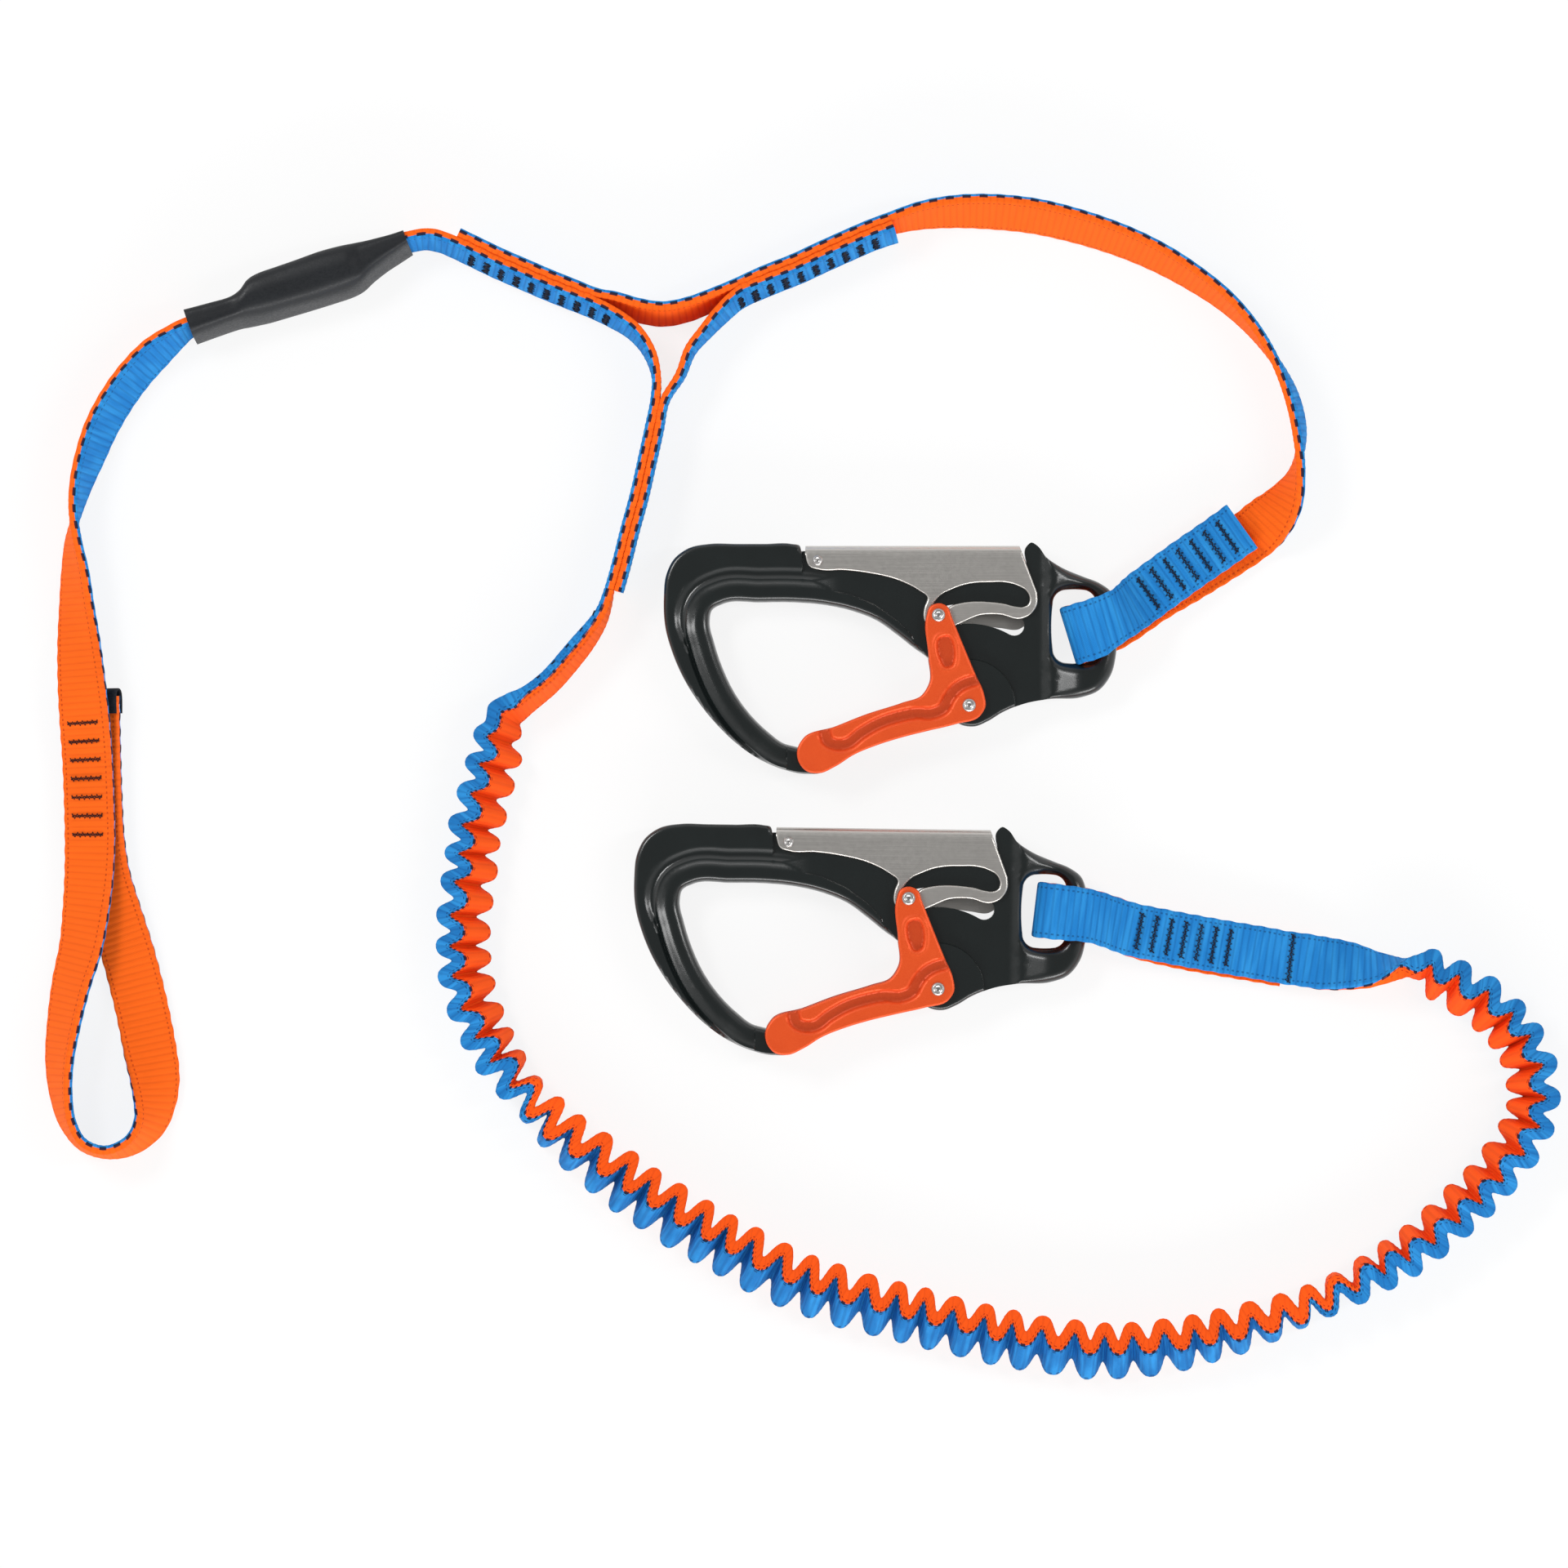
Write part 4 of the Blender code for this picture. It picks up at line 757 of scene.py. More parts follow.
# Stretches of webbing, as they show
FOLD_WAY = Vector((math.cos(math.radians(FOLD_SLOPE)), math.sin(math.radians(FOLD_SLOPE)), 0))
FOLD_ACROSS = leaning(FOLD_WAY, FOLD_LEAN)[0]
FOLD_SIDE = Vector((0, 0, 1)).cross(FOLD_WAY) / math.cos(math.radians(FOLD_LEAN))
FOLD_MIDDLE = floor_point(*FOLD_CENTRE, rest_height(FOLD_LEAN, WEB_WIDTH, WEB_THICK)
                          + SLEEVE_LIFT * MM)
LAYER = SKIN_THICK + 0.03 * MM


def fold_point(along, sideways):
    return FOLD_MIDDLE + FOLD_WAY * along + FOLD_SIDE * sideways


def fold_layers(bend_steps=6):
    """Out along the first layer, back along the second, out along the third."""
    points = [fold_point(a * MM, b * MM) for a, b in FOLD_ENTRY]
    for layer, way in ((-1, 1), (0, -1), (1, 1)):
        for share in (-0.5, 0.0, 0.5):
            points.append(fold_point(way * share * FOLD_LENGTH, layer * FOLD_LAYER))
        if layer < 1:
            for k in range(1, bend_steps):
                angle = math.pi * k / bend_steps
                points.append(fold_point(way * (FOLD_LENGTH / 2 + FOLD_LAYER / 2 * math.sin(angle)),
                                         (layer + 0.5 - 0.5 * math.cos(angle)) * FOLD_LAYER))
    points += [fold_point(a * MM, b * MM) for a, b in FOLD_EXIT]
    return standing(points, FOLD_ACROSS)


LOOP = lay(HAND_LOOP)
LEFT_ARM = lay(ARM_LEFT)
RIGHT_ARM = lay(ARM_RIGHT)
STEM_LAYER = lay(STEM)
ARM_AND_STEM = LEFT_ARM + lay(ARM_TO_STEM)
MAIN = LOOP + fold_layers() + lay(ARM_LEFT_LEAD) + ARM_AND_STEM + STEM_LAYER
UPPER_A = lay(SHORT_UPPER)
SHORT = (beside(LEFT_ARM, LAYER) + lay(SHORT_BRIDGE) + RIGHT_ARM + lay(SHORT_ARC)
         + lay(SHORT_LOWER) + eye_turn("a", True) + UPPER_A)
BRIDGE = turned(beside(RIGHT_ARM, -LAYER)) + lay(BRIDGE_TURN) + beside(STEM_LAYER, LAYER)
LEAD = lay(LEG_LEAD + LEG_GATHERS[:1], STATION / 4, 0, 1)
LEAD = filling(LEAD, length_of([s.point for s in LEAD]) - GATHER_FADE, 1)
LEAD = [s._replace(gather=max(s.gather, min(0.5, i / 16))) for i, s in enumerate(LEAD)]
FLAT = filling(lay([LEG_GATHERS[-1]] + LEG_FLAT, STATION / 8, 1, 0), GATHER_FADE, -1)
UPPER_B = lay(LEG_UPPER)
TAIL = UPPER_B + eye_turn("b", False) + lay(LEG_LOWER)
LEG = LEAD + gathers(WAVE_STEPS) + FLAT + TAIL
LEG_LINE = LEAD + gathers(4, 0.0) + FLAT + TAIL

WEBBINGS = [
    ("webbing_main", MAIN, "orange", "hand_loop_webbing", "webbing_orange", MAIN),
    ("webbing_short_leg", SHORT, "blue", "short_leg_webbing", "webbing_blue", SHORT),
    ("webbing_bridge", BRIDGE, "blue", "bridge_webbing", "webbing_blue", BRIDGE),
    ("webbing_elastic_leg", LEG, "orange", "elastic_leg_webbing", "webbing_orange", LEG_LINE),
]
STRAPS = {}
for name, stations, finish, node, slot, line in WEBBINGS:
    fine = smooth(stations, FINE)
    item = strap(name, fine, finish)
    finished(item, "tether", slot, node)
    points = [s.point for s in smooth(line, 4 * MM)]
    STRAPS[name] = (item, fine, points)

CORE = smooth((LEAD + gathers(WAVE_STEPS) + FLAT)[1:-1], 1.0 * MM)
core = strap("core_elastic", CORE, "rubber", CORE_WIDTH, CORE_THICK, ribs=False)
finished(core, "tether", "elastic", "elastic_core")


# Stitching
STITCH = 0.78 * MM                # half a tooth of a tack's zigzag, along the bar
STITCH_SWING = {"thread": 0.85, "brown": 0.6}
STITCH_RADIUS = 0.22 * MM
STITCH_SINK = 0.10 * MM


def thread_run(name, runs, radius, finish):
    """One object of round threads, each along its own points."""
    data = bpy.data.curves.new(name, "CURVE")
    data.dimensions = "3D"
    data.bevel_depth = radius
    data.bevel_resolution = 1
    data.use_fill_caps = True
    for points in runs:
        line = data.splines.new("POLY")
        line.points.add(len(points) - 1)
        for knot, point in zip(line.points, points):
            knot.co = (*point, 1.0)
    item = linked(name, data)
    mesh = bpy.data.meshes.new_from_object(item)
    bpy.data.objects.remove(item, do_unlink=True)
    mesh.name = name
    mesh.polygons.foreach_set("use_smooth", [True] * len(mesh.polygons))
    mesh.materials.clear()
    return put(name, mesh, finish)


def zigzag_tack(name, stretch, start, pitch, bars, face, length, finish):
    """Bars of crossing zigzag stitches across a strap."""
    lift = (SKIN_THICK / 2 + STITCH_SINK) * face
    runs = []
    for k in range(bars):
        s = at(stretch, start + pitch * k)
        ahead = s.across.cross(s.normal).normalized()
        count = int(length / STITCH)
        for shift, width in ((0, 1.0), (1, 0.3)):
            points = []
            for n in range(count + 1):
                reach = (n / count - 0.5) * length
                side = STITCH_SWING[finish] * width * MM * (1 if (n + shift) % 2 else -1)
                side *= 0.80 + 0.4 * abs(math.sin(3.7 * n + 1.3 * k))
                sink = STITCH_SINK * math.sin(2.1 * n + k + shift) * face
                points.append(s.point + s.normal * (lift + sink) + s.across * reach
                              + ahead * side)
            runs.append(points)
    return thread_run(name, runs, STITCH_RADIUS, finish)


# name, stretch, first bar's place, pitch, bars, face, length, after, thread, node
TACKS = [
    ("tack_hand_loop", LOOP, (107, 1022), 5.4, 7, 1, 9.6, 200 * MM, "brown",
     "hand_loop_bar_tack"),
    ("tack_left_arm", ARM_AND_STEM, (581, 316), 4.7, 10, -1, 10.5, 0, "thread",
     "left_arm_bar_tack"),
    ("tack_right_arm", BRIDGE, (1070, 296), 4.7, 10, 1, 10.5, 0, "thread", "right_arm_bar_tack"),
    ("tack_clip_a", UPPER_A, (1405, 727), 4.65, 7, 1, 10.6, 0, "thread", "clip_a_bar_tack"),
    ("tack_clip_b", UPPER_B, (1503, 1160), 4.36, 7, -1, 10.6, 0, "thread", "clip_b_bar_tack"),
    ("tack_elastic_inner", LEAD, (736, 757), 6.3, 5, -1, 15.0, 0, "thread",
     "elastic_inner_anchor_tack"),
    ("tack_elastic_outer", FLAT + UPPER_B, (1579, 1173), 1.2, 1, -1, 14.0, 0, "thread",
     "elastic_outer_anchor_tack"),
]
for name, stretch, first, pitch, bars, face, length, after, finish, node in TACKS:
    tack = zigzag_tack(name, stretch, distance_to(stretch, *first, after), pitch * MM, bars, face,
                       length * MM, finish)
    finished(tack, "tether", "thread", node)

# End tab: tape folded over the hand loop's cut end
TAB_THICK = 0.5 * MM
TAB_REACH = 5.0 * MM
TAB_ROUND = WEB_THICK / 2 + GAP + TAB_THICK / 2


def end_tab(name, end, way, steps=8):
    out = way.normalized()
    points = [end.point - out * TAB_REACH + end.normal * TAB_ROUND]
    for k in range(steps + 1):
        angle = math.pi * k / steps
        points.append(end.point + out * TAB_ROUND * math.sin(angle)
                      + end.normal * TAB_ROUND * math.cos(angle))
    points.append(end.point - out * TAB_REACH - end.normal * TAB_ROUND)
    return strap(name, smooth(standing(points, end.across), 0.5 * MM), "tape", WEB_WIDTH,
                 TAB_THICK, ribs=False)


tab = end_tab("tab_hand_loop", LOOP[0], LOOP[0].point - LOOP[1].point)
finished(tab, "tether", "end_tape", "hand_loop_end_tab")

# Sleeve: photograph points along its upper and lower outline, side by side
SLEEVE_SECTIONS = [((228, 381), (242.7, 423.4)), ((258, 373), (269, 414)),
                   ((283, 366), (293, 405.5)), ((296, 357), (306, 402.5)),
                   ((305, 344), (319, 400)), ((318, 336), (334, 397)), ((342, 328), (360, 389.5)),
                   ((365, 320), (385, 382)), ((392, 310), (410, 374.5)), ((416, 303.5), (433, 367)),
                   ((434, 300), (447, 359)), ((448, 297), (459, 347)), ((465, 293), (474, 335)),
                   ((481, 289.5), (490, 324)), ((496, 285.5), (506, 312.8))]
SLEEVE_HALF_HEIGHT = 8.55 * MM
SLEEVE_WALL = 0.6 * MM
SLEEVE_MIDDLE = 8.95 * MM
SLEEVE_POWER = 4.6
SLEEVE_DRAWN = 1.3 * MM          # room its lean takes from its half width
SLEEVE_SLOPE = 0.4 * MM          # how far its top edge stands back over the fold
SLEEVE_PAD = 0.9 * MM            # height of the folded strap seen through it
SLEEVE_FOLD = ((0.14, 0.09), (0.74, 0.08))  # where the pad starts and ends, and its two slopes
SLEEVE_CREASES = ((0.18, 11, 3), (0.12, 23, 5))  # depth, waves along it, waves round it


def sleeve(name, around=40, between=5):
    """Shrunk tube lofted through its sections, drawn tight over the folded strap inside."""
    pairs = [(floor_point(*u), floor_point(*v)) for u, v in SLEEVE_SECTIONS]
    centres = [(u + v) / 2 for u, v in pairs]
    halves = [(u - v) / 2 for u, v in pairs]
    rings_out, rings_in = [], []
    last = len(pairs) - 1
    for i in range(last):
        for k in range(between + (i == last - 1)):
            t = k / between
            four = [max(i - 1, 0), i, i + 1, min(i + 2, last)]
            centre = Vector([spline(*(centres[j][axis] for j in four), t)[0] for axis in range(3)])
            half = Vector([spline(*(halves[j][axis] for j in four), t)[0] for axis in range(3)])
            along = (i + t) / last
            ring, inner = [], []
            (begin, up), (stop, down) = SLEEVE_FOLD
            folded = (min(1.0, max(0.0, (along - begin) / up))
                      * min(1.0, max(0.0, (stop - along) / down)))
            folded = folded * folded * (3 - 2 * folded)
            for n in range(around):
                angle = TAU * n / around
                c, s = math.cos(angle), math.sin(angle)
                stretch = (abs(c) ** SLEEVE_POWER + abs(s) ** SLEEVE_POWER) ** (-1 / SLEEVE_POWER)
                crease = sum(deep * math.sin(run * along + turns * way)
                             for (deep, run, turns), way in zip(SLEEVE_CREASES, (s, c)))
                for shell, target in ((0.0, ring), (SLEEVE_WALL, inner)):
                    reach = half.length - SLEEVE_DRAWN - shell + crease * 0.4 * MM
                    rise = (SLEEVE_HALF_HEIGHT - shell) * s * stretch
                    sideways = reach * c * stretch + rise * math.tan(math.radians(FOLD_LEAN))
                    upper = max(0.0, s * stretch)
                    if c < 0:
                        sideways += SLEEVE_SLOPE * folded * upper ** 2 * abs(c * stretch)
                    pad = SLEEVE_PAD * folded * upper ** 3 * min(1.0, max(0.0, 0.95 - abs(c - 0.1)))
                    target.append(centre + half.normalized() * sideways
                                  + Vector((0, 0, SLEEVE_MIDDLE + rise + pad)))
            rings_out.append(ring)
            rings_in.append(inner)
    rings = rings_out + rings_in[::-1]
    work = bmesh.new()
    knots = [[work.verts.new(p) for p in ring] for ring in rings]
    for a, b in zip(knots, knots[1:] + knots[:1]):
        for n in range(around):
            m = (n + 1) % around
            work.faces.new((a[n], a[m], b[m], b[n]))
    bmesh.ops.recalc_face_normals(work, faces=work.faces)
    mesh = bpy.data.meshes.new(name)
    work.to_mesh(mesh)
    work.free()
    shaded(mesh, sharp=50)
    return put(name, mesh, "sleeve")


finished(sleeve("sleeve_overload"), "tether", "sleeve", "overload_sleeve")


# Clip outlines, in millimetres in the clip's frame
HOOK_OUTER = [(-48.2, 44.3), (-48.6, 45.8), (-51.0, 46.4), (-58.8, 46.4), (-66.7, 46.4),
              (-74.5, 46.4), (-80.7, 45.1), (-84.8, 42.0), (-87.0, 37.5), (-87.7, 31.0),
              (-87.2, 22.0), (-85.3, 15.3), (-82.4, 8.5), (-78.0, 1.3), (-72.5, -5.5),
              (-66.5, -11.2), (-60.0, -15.6), (-53.5, -18.4), (-46.6, -19.7)]
HOOK_TONGUE = [(-41.6, -18.9), (-40.2, -16.2), (-42.2, -13.4)]
HOOK_INNER = [(-49.5, -11.9), (-53.2, -10.9), (-57.5, -7.8), (-62.5, -3.0), (-67.2, 3.4),
              (-70.8, 10.8), (-73.2, 18.0), (-74.5, 24.0), (-73.8, 27.4), (-70.6, 29.2),
              (-60.0, 29.6), (-50.0, 29.6), (-41.0, 28.8), (-33.0, 27.0), (-26.5, 24.4),
              (-20.5, 20.2), (-15.8, 16.5), (-11.8, 13.6)]
PIVOT_LOBE = [(-8.6, 9.0), (-7.2, 3.5), (-5.8, -1.5), (-3.0, -5.2), (1.5, -6.1), (5.4, -4.6),
              (9.7, -2.0), (16.4, 0.6), (23.2, 1.8)]
RING_OUTER = [(32.3, 2.3), (37.4, 4.3), (40.8, 8.6), (42.4, 15.0), (42.5, 22.5), (42.3, 29.0),
              (40.8, 32.8), (37.6, 35.2), (32.8, 37.1), (26.0, 40.0), (22.2, 42.6)]
HORN = [(19.6, 45.9), (17.9, 46.8), (16.5, 45.6), (16.6, 38.5), (15.0, 35.2), (-43.0, 44.3)]
PLATE = [(-47.0, 45.8), (14.5, 45.8), (19.6, 32.4), (19.6, 29.0), (17.4, 25.9), (14.6, 24.8),
         (9.0, 26.0), (3.5, 25.9), (-3.7, 23.0), (-7.4, 21.7), (-11.0, 22.2), (-13.0, 24.8),
         (-12.9, 28.0), (-12.0, 31.0), (-14.6, 33.1), (-20.5, 36.0), (-28.4, 37.9),
         (-36.0, 38.8), (-43.0, 38.9), (-46.0, 40.0), (-47.0, 42.6)]
FAR_FINGER = {4: (16.9, 23.6), 5: (14.6, 22.0), 6: (9.0, 22.3), 7: (3.5, 22.9), 8: (-3.7, 21.9)}
PLATE_SLOT = [(-9.8, 29.7), (-7.9, 31.8), (-5.1, 33.2), (-1.3, 34.6), (2.4, 35.2), (5.7, 35.3),
              (10.2, 35.3), (14.1, 34.3), (16.5, 32.8), (17.4, 30.6), (17.0, 29.1), (15.6, 28.3),
              (13.3, 28.4), (10.0, 29.2), (5.7, 29.7), (1.0, 29.8), (-2.3, 29.4), (-5.6, 28.3),
              (-6.9, 26.6), (-7.0, 24.9), (-8.8, 23.9), (-10.6, 24.9), (-10.9, 27.3)]
GATE = [(-8.8, 29.3), (-6.2, 28.3), (-5.0, 25.4), (-1.8, 17.6), (1.8, 9.0), (4.3, 3.2),
        (4.7, -0.3), (3.0, -3.2), (-3.7, -5.4), (-12.0, -7.4), (-19.5, -9.3), (-26.5, -11.5),
        (-33.2, -14.3), (-38.4, -17.6), (-42.8, -19.5), (-46.4, -19.1), (-48.9, -16.4),
        (-49.4, -12.8), (-47.6, -9.4), (-38.6, -6.1), (-30.0, -2.7), (-19.1, 0.8), (-13.6, 2.9),
        (-11.4, 6.4), (-11.7, 14.3), (-12.3, 25.6), (-11.3, 28.3)]
GATE_WEB = [(-46.8, -10.6), (-40.0, -8.6), (-31.0, -5.2), (-22.0, -2.4), (-15.6, -1.2),
            (-15.6, -4.2), (-22.0, -5.5), (-30.0, -8.2), (-37.5, -11.4), (-42.0, -12.7),
            (-46.8, -11.9)]


def closed_outline(points, corners=(), step=0.55):
    """A smooth closed outline through points, sharp at its corners, with points every step."""
    knots = np.array(points, float)
    count = len(knots)
    runs = np.linalg.norm(np.roll(knots, -1, axis=0) - knots, axis=1)
    rate = (np.roll(knots, -1, axis=0) - knots) / runs[:, None]
    out = []
    for i in range(count):
        j = (i + 1) % count
        before, after = (i - 1) % count, j
        start = rate[i] if i in corners else ((rate[i] * runs[before] + rate[before] * runs[i])
                                              / (runs[i] + runs[before]))
        end = rate[i] if j in corners else ((rate[after] * runs[i] + rate[i] * runs[after])
                                            / (runs[i] + runs[after]))
        parts = max(1, round(runs[i] / step))
        for k in range(parts):
            a, b, c, d = hermite(k / parts, runs[i])
            out.append(a * knots[i] + b * knots[j] + c * start + d * end)
    return np.array(out)


def reach_to(places, line, closed=True):
    """Distance from each place to a line of points."""
    line = np.asarray(line, float)
    starts = line if closed else line[:-1]
    ends = np.roll(line, -1, axis=0) if closed else line[1:]
    ways = ends - starts
    squares = np.maximum((ways ** 2).sum(axis=1), 1e-12)
    best = np.full(len(places), 1e9)
    for first in range(0, len(places), PLACES_AT_ONCE):
        part = places[first:first + PLACES_AT_ONCE, None, :] - starts[None]
        share = np.clip((part * ways[None]).sum(axis=2) / squares[None], 0, 1)
        gap = part - share[..., None] * ways[None]
        best[first:first + PLACES_AT_ONCE] = np.sqrt((gap ** 2).sum(axis=2)).min(axis=1)
    return best


def normals_of(loop):
    """Unit directions square to a closed loop, one at each of its points."""
    way = np.roll(loop, -1, axis=0) - np.roll(loop, 1, axis=0)
    side = np.stack([-way[:, 1], way[:, 0]], axis=1)
    return side / np.maximum(np.linalg.norm(side, axis=1), 1e-9)[:, None]


def within(places, loops):
    """Whether each place lies inside the loops, holes among them."""
    inside = np.zeros(len(places), bool)
    for loop in loops:
        starts = np.asarray(loop, float)
        ends = np.roll(starts, -1, axis=0)
        for first in range(0, len(places), PLACES_AT_ONCE):
            p = places[first:first + PLACES_AT_ONCE]
            y = p[:, 1, None]
            crosses = (starts[None, :, 1] > y) != (ends[None, :, 1] > y)
            rise = ends[:, 1] - starts[:, 1]
            rise = np.where(np.abs(rise) < 1e-12, 1e-12, rise)
            x = starts[None, :, 0] + (y - starts[None, :, 1]) * (ends - starts)[None, :, 0] / rise
            inside[first:first + PLACES_AT_ONCE] ^= (
                (crosses & (p[:, 0, None] < x)).sum(axis=1) % 2 == 1)
    return inside


def step_up(value, low, high):
    t = np.clip((value - low) / (high - low), 0, 1)
    return t * t * (3 - 2 * t)


def drop(distance, radius):
    """How far a rounded edge falls below its face at a distance from the edge."""
    left = radius - np.minimum(np.maximum(distance, 0), radius)
    return radius - np.sqrt(np.maximum(radius ** 2 - left ** 2, 0))


# Reliefs: distances of their rings of points from the outline, and room round a crease
CREASE_ROOM = 0.12
PLACES_AT_ONCE = 1500
RINGS = (0.08, 0.30, 0.65, 1.10, 1.70, 2.40, 3.20, 4.10, 4.80, 5.40, 5.85, 6.25, 6.65, 7.05, 7.50,
         8.00)


def relief(loops, top, low, rings=RINGS, spacing=0.62, creases=(), zone=None, rows=None):
    """Closed shell over an outline in millimetres between two height functions."""
    edge_points = np.vstack(loops)
    edges, first = [], 0
    for loop in loops:
        edges += [(first + k, first + (k + 1) % len(loop)) for k in range(len(loop))]
        first += len(loop)
    found = [edge_points]
    total = len(edge_points)
    for crease in creases:
        crease = np.asarray(crease, float)
        kept = within(crease, loops)
        off = np.min([reach_to(crease, loop) for loop in loops], axis=0)
        kept &= off > CREASE_ROOM
        index = np.full(len(crease), -1)
        index[kept] = total + np.arange(kept.sum())
        edges += [(int(index[k]), int(index[k + 1])) for k in range(len(crease) - 1)
                  if index[k] >= 0 and index[k + 1] >= 0]
        found.append(crease[kept])
        total += int(kept.sum())
    candidates, wanted = [], []
    for loop in loops:
        side = normals_of(loop)
        for ring in rings:
            thin = slice(None, None, 1 if ring < 2 or ring > 5 else 2)
            for sign in (1, -1):
                candidates.append(loop[thin] + side[thin] * ring * sign)
                wanted.append(np.full(len(candidates[-1]), ring * 0.985))
    low_corner, high_corner = edge_points.min(axis=0), edge_points.max(axis=0)
    xs = np.arange(low_corner[0], high_corner[0], spacing)
    ys = np.arange(low_corner[1], high_corner[1], spacing * 0.87)
    grid = np.array([(x + spacing / 2 * (row % 2), y) for row, y in enumerate(ys) for x in xs])
    candidates.append(grid)
    wanted.append(np.full(len(grid), rings[-1] + spacing * 0.5))
    candidates, wanted = np.vstack(candidates), np.concatenate(wanted)
    kept = within(candidates, loops)
    candidates, wanted = candidates[kept], wanted[kept]
    kept = np.min([reach_to(candidates, loop) for loop in loops], axis=0) >= wanted
    candidates = candidates[kept]
    if zone is not None:
        rows = rows[within(rows, loops)]
        rows = rows[np.min([reach_to(rows, loop) for loop in loops], axis=0) > 0.3]
        candidates = np.vstack([candidates[~zone(candidates)], rows])
    for crease in creases:
        candidates = candidates[reach_to(candidates, crease, False) > CREASE_ROOM]
    found.append(candidates)
    flat = np.vstack(found)
    verts, _, faces, _, _, _ = delaunay_2d_cdt([Vector(p) for p in flat], edges, [], 0, 1e-3)
    flat = np.array([tuple(v) for v in verts])
    faces = np.array([f for f in faces if len(f) == 3])
    middles = flat[faces].mean(axis=1)
    faces = faces[within(middles, loops)]
    a, b, c = (flat[faces[:, k]] for k in range(3))
    area = (b[:, 0] - a[:, 0]) * (c[:, 1] - a[:, 1]) - (b[:, 1] - a[:, 1]) * (c[:, 0] - a[:, 0])
    faces = faces[np.abs(area) > 1e-9]
    area = area[np.abs(area) > 1e-9]
    faces[area < 0] = faces[area < 0][:, ::-1]
    used = np.unique(faces)
    renumber = np.full(len(flat), -1)
    renumber[used] = np.arange(len(used))
    flat, faces = flat[used], renumber[faces]
    high, under = top(flat), low(flat)
    count = len(flat)
    upper = np.column_stack([flat, high])
    lower = np.column_stack([flat, under])
    halves = {}
    for tri in faces.tolist():
        for k in range(3):
            halves[(tri[k], tri[(k + 1) % 3])] = True
    rim = [(i, j) for i, j in halves if (j, i) not in halves]
    walls = [(i, i + count, j + count, j) for i, j in rim]
    every = faces.tolist() + (faces[:, ::-1] + count).tolist() + walls
    return np.vstack([upper, lower]), every


def mirrored(shell):
    verts, faces = shell
    return verts * np.array([1, 1, -1]), [tuple(f)[::-1] for f in faces]


def shells_piece(name, shells, finish, place, sharp):
    """One mesh object of shells in millimetres, welded where they meet on the middle plane."""
    mesh = bpy.data.meshes.new(name)
    verts, faces, first = [], [], 0
    for points, polygons in shells:
        verts.append(points * MM)
        faces += [tuple(int(i) + first for i in polygon) for polygon in polygons]
        first += len(points)
    mesh.from_pydata(np.vstack(verts).tolist(), [], faces)
    work = bmesh.new()
    work.from_mesh(mesh)
    inner = [f for f in work.faces if all(abs(v.co.z) < 1e-7 for v in f.verts)]
    bmesh.ops.delete(work, geom=inner, context="FACES")
    bmesh.ops.remove_doubles(work, verts=work.verts, dist=2e-6)
    bmesh.ops.dissolve_degenerate(work, edges=work.edges, dist=1e-7)
    loose = [v for v in work.verts if not v.link_faces]
    bmesh.ops.delete(work, geom=loose, context="VERTS")
    work.to_mesh(mesh)
    work.free()
    shaded(mesh, sharp)
    item = put(name, mesh, finish)
    item.matrix_world = place
    return item


def lathe(profile, steps=40):
    """Closed shell turned about Z through (radius, height) points that start and end at 0."""
    verts, faces = [(0.0, 0.0, profile[0][1])], []
    for radius, z in profile[1:-1]:
        verts += [(radius * math.cos(TAU * k / steps), radius * math.sin(TAU * k / steps), z)
                  for k in range(steps)]
    verts.append((0.0, 0.0, profile[-1][1]))
    rows = len(profile) - 2
    for k in range(steps):
        n = (k + 1) % steps
        faces.append((0, 1 + k, 1 + n))
        for row in range(rows - 1):
            base = 1 + row * steps
            faces.append((base + k, base + steps + k, base + steps + n, base + n))
        base = 1 + (rows - 1) * steps
        faces.append((len(verts) - 1, base + n, base + k))
    return np.array(verts), faces


def arc_band(centre, radius, half, start, end, steps=40):
    """Outline of a slot that follows an arc, with round ends, angles in degrees."""
    points = []
    for side, a, b in ((half, start, end), (-half, end, start)):
        for k in range(steps + 1):
            angle = math.radians(a + (b - a) * k / steps)
            points.append((centre[0] + (radius + side) * math.cos(angle),
                           centre[1] + (radius + side) * math.sin(angle)))
        last = math.radians(b)
        middle = (centre[0] + radius * math.cos(last), centre[1] + radius * math.sin(last))
        for k in range(1, 12):
            angle = last + (0 if side > 0 else math.pi) - math.pi * k / 12
            points.append((middle[0] + half * math.cos(angle), middle[1] + half * math.sin(angle)))
    return np.array(points)


def eye_outline():
    """The eye's hole: a rectangle with round corners."""
    points = []
    for cx, cy, start in ((EYE_HIGH[0] - EYE_CORNER, EYE_HIGH[1] - EYE_CORNER, 0),
                          (EYE_LOW[0] + EYE_CORNER, EYE_HIGH[1] - EYE_CORNER, 90),
                          (EYE_LOW[0] + EYE_CORNER, EYE_LOW[1] + EYE_CORNER, 180),
                          (EYE_HIGH[0] - EYE_CORNER, EYE_LOW[1] + EYE_CORNER, 270)):
        for k in range(7):
            angle = math.radians(start + 15 * k)
            points.append((cx + EYE_CORNER * math.cos(angle), cy + EYE_CORNER * math.sin(angle)))
    return points


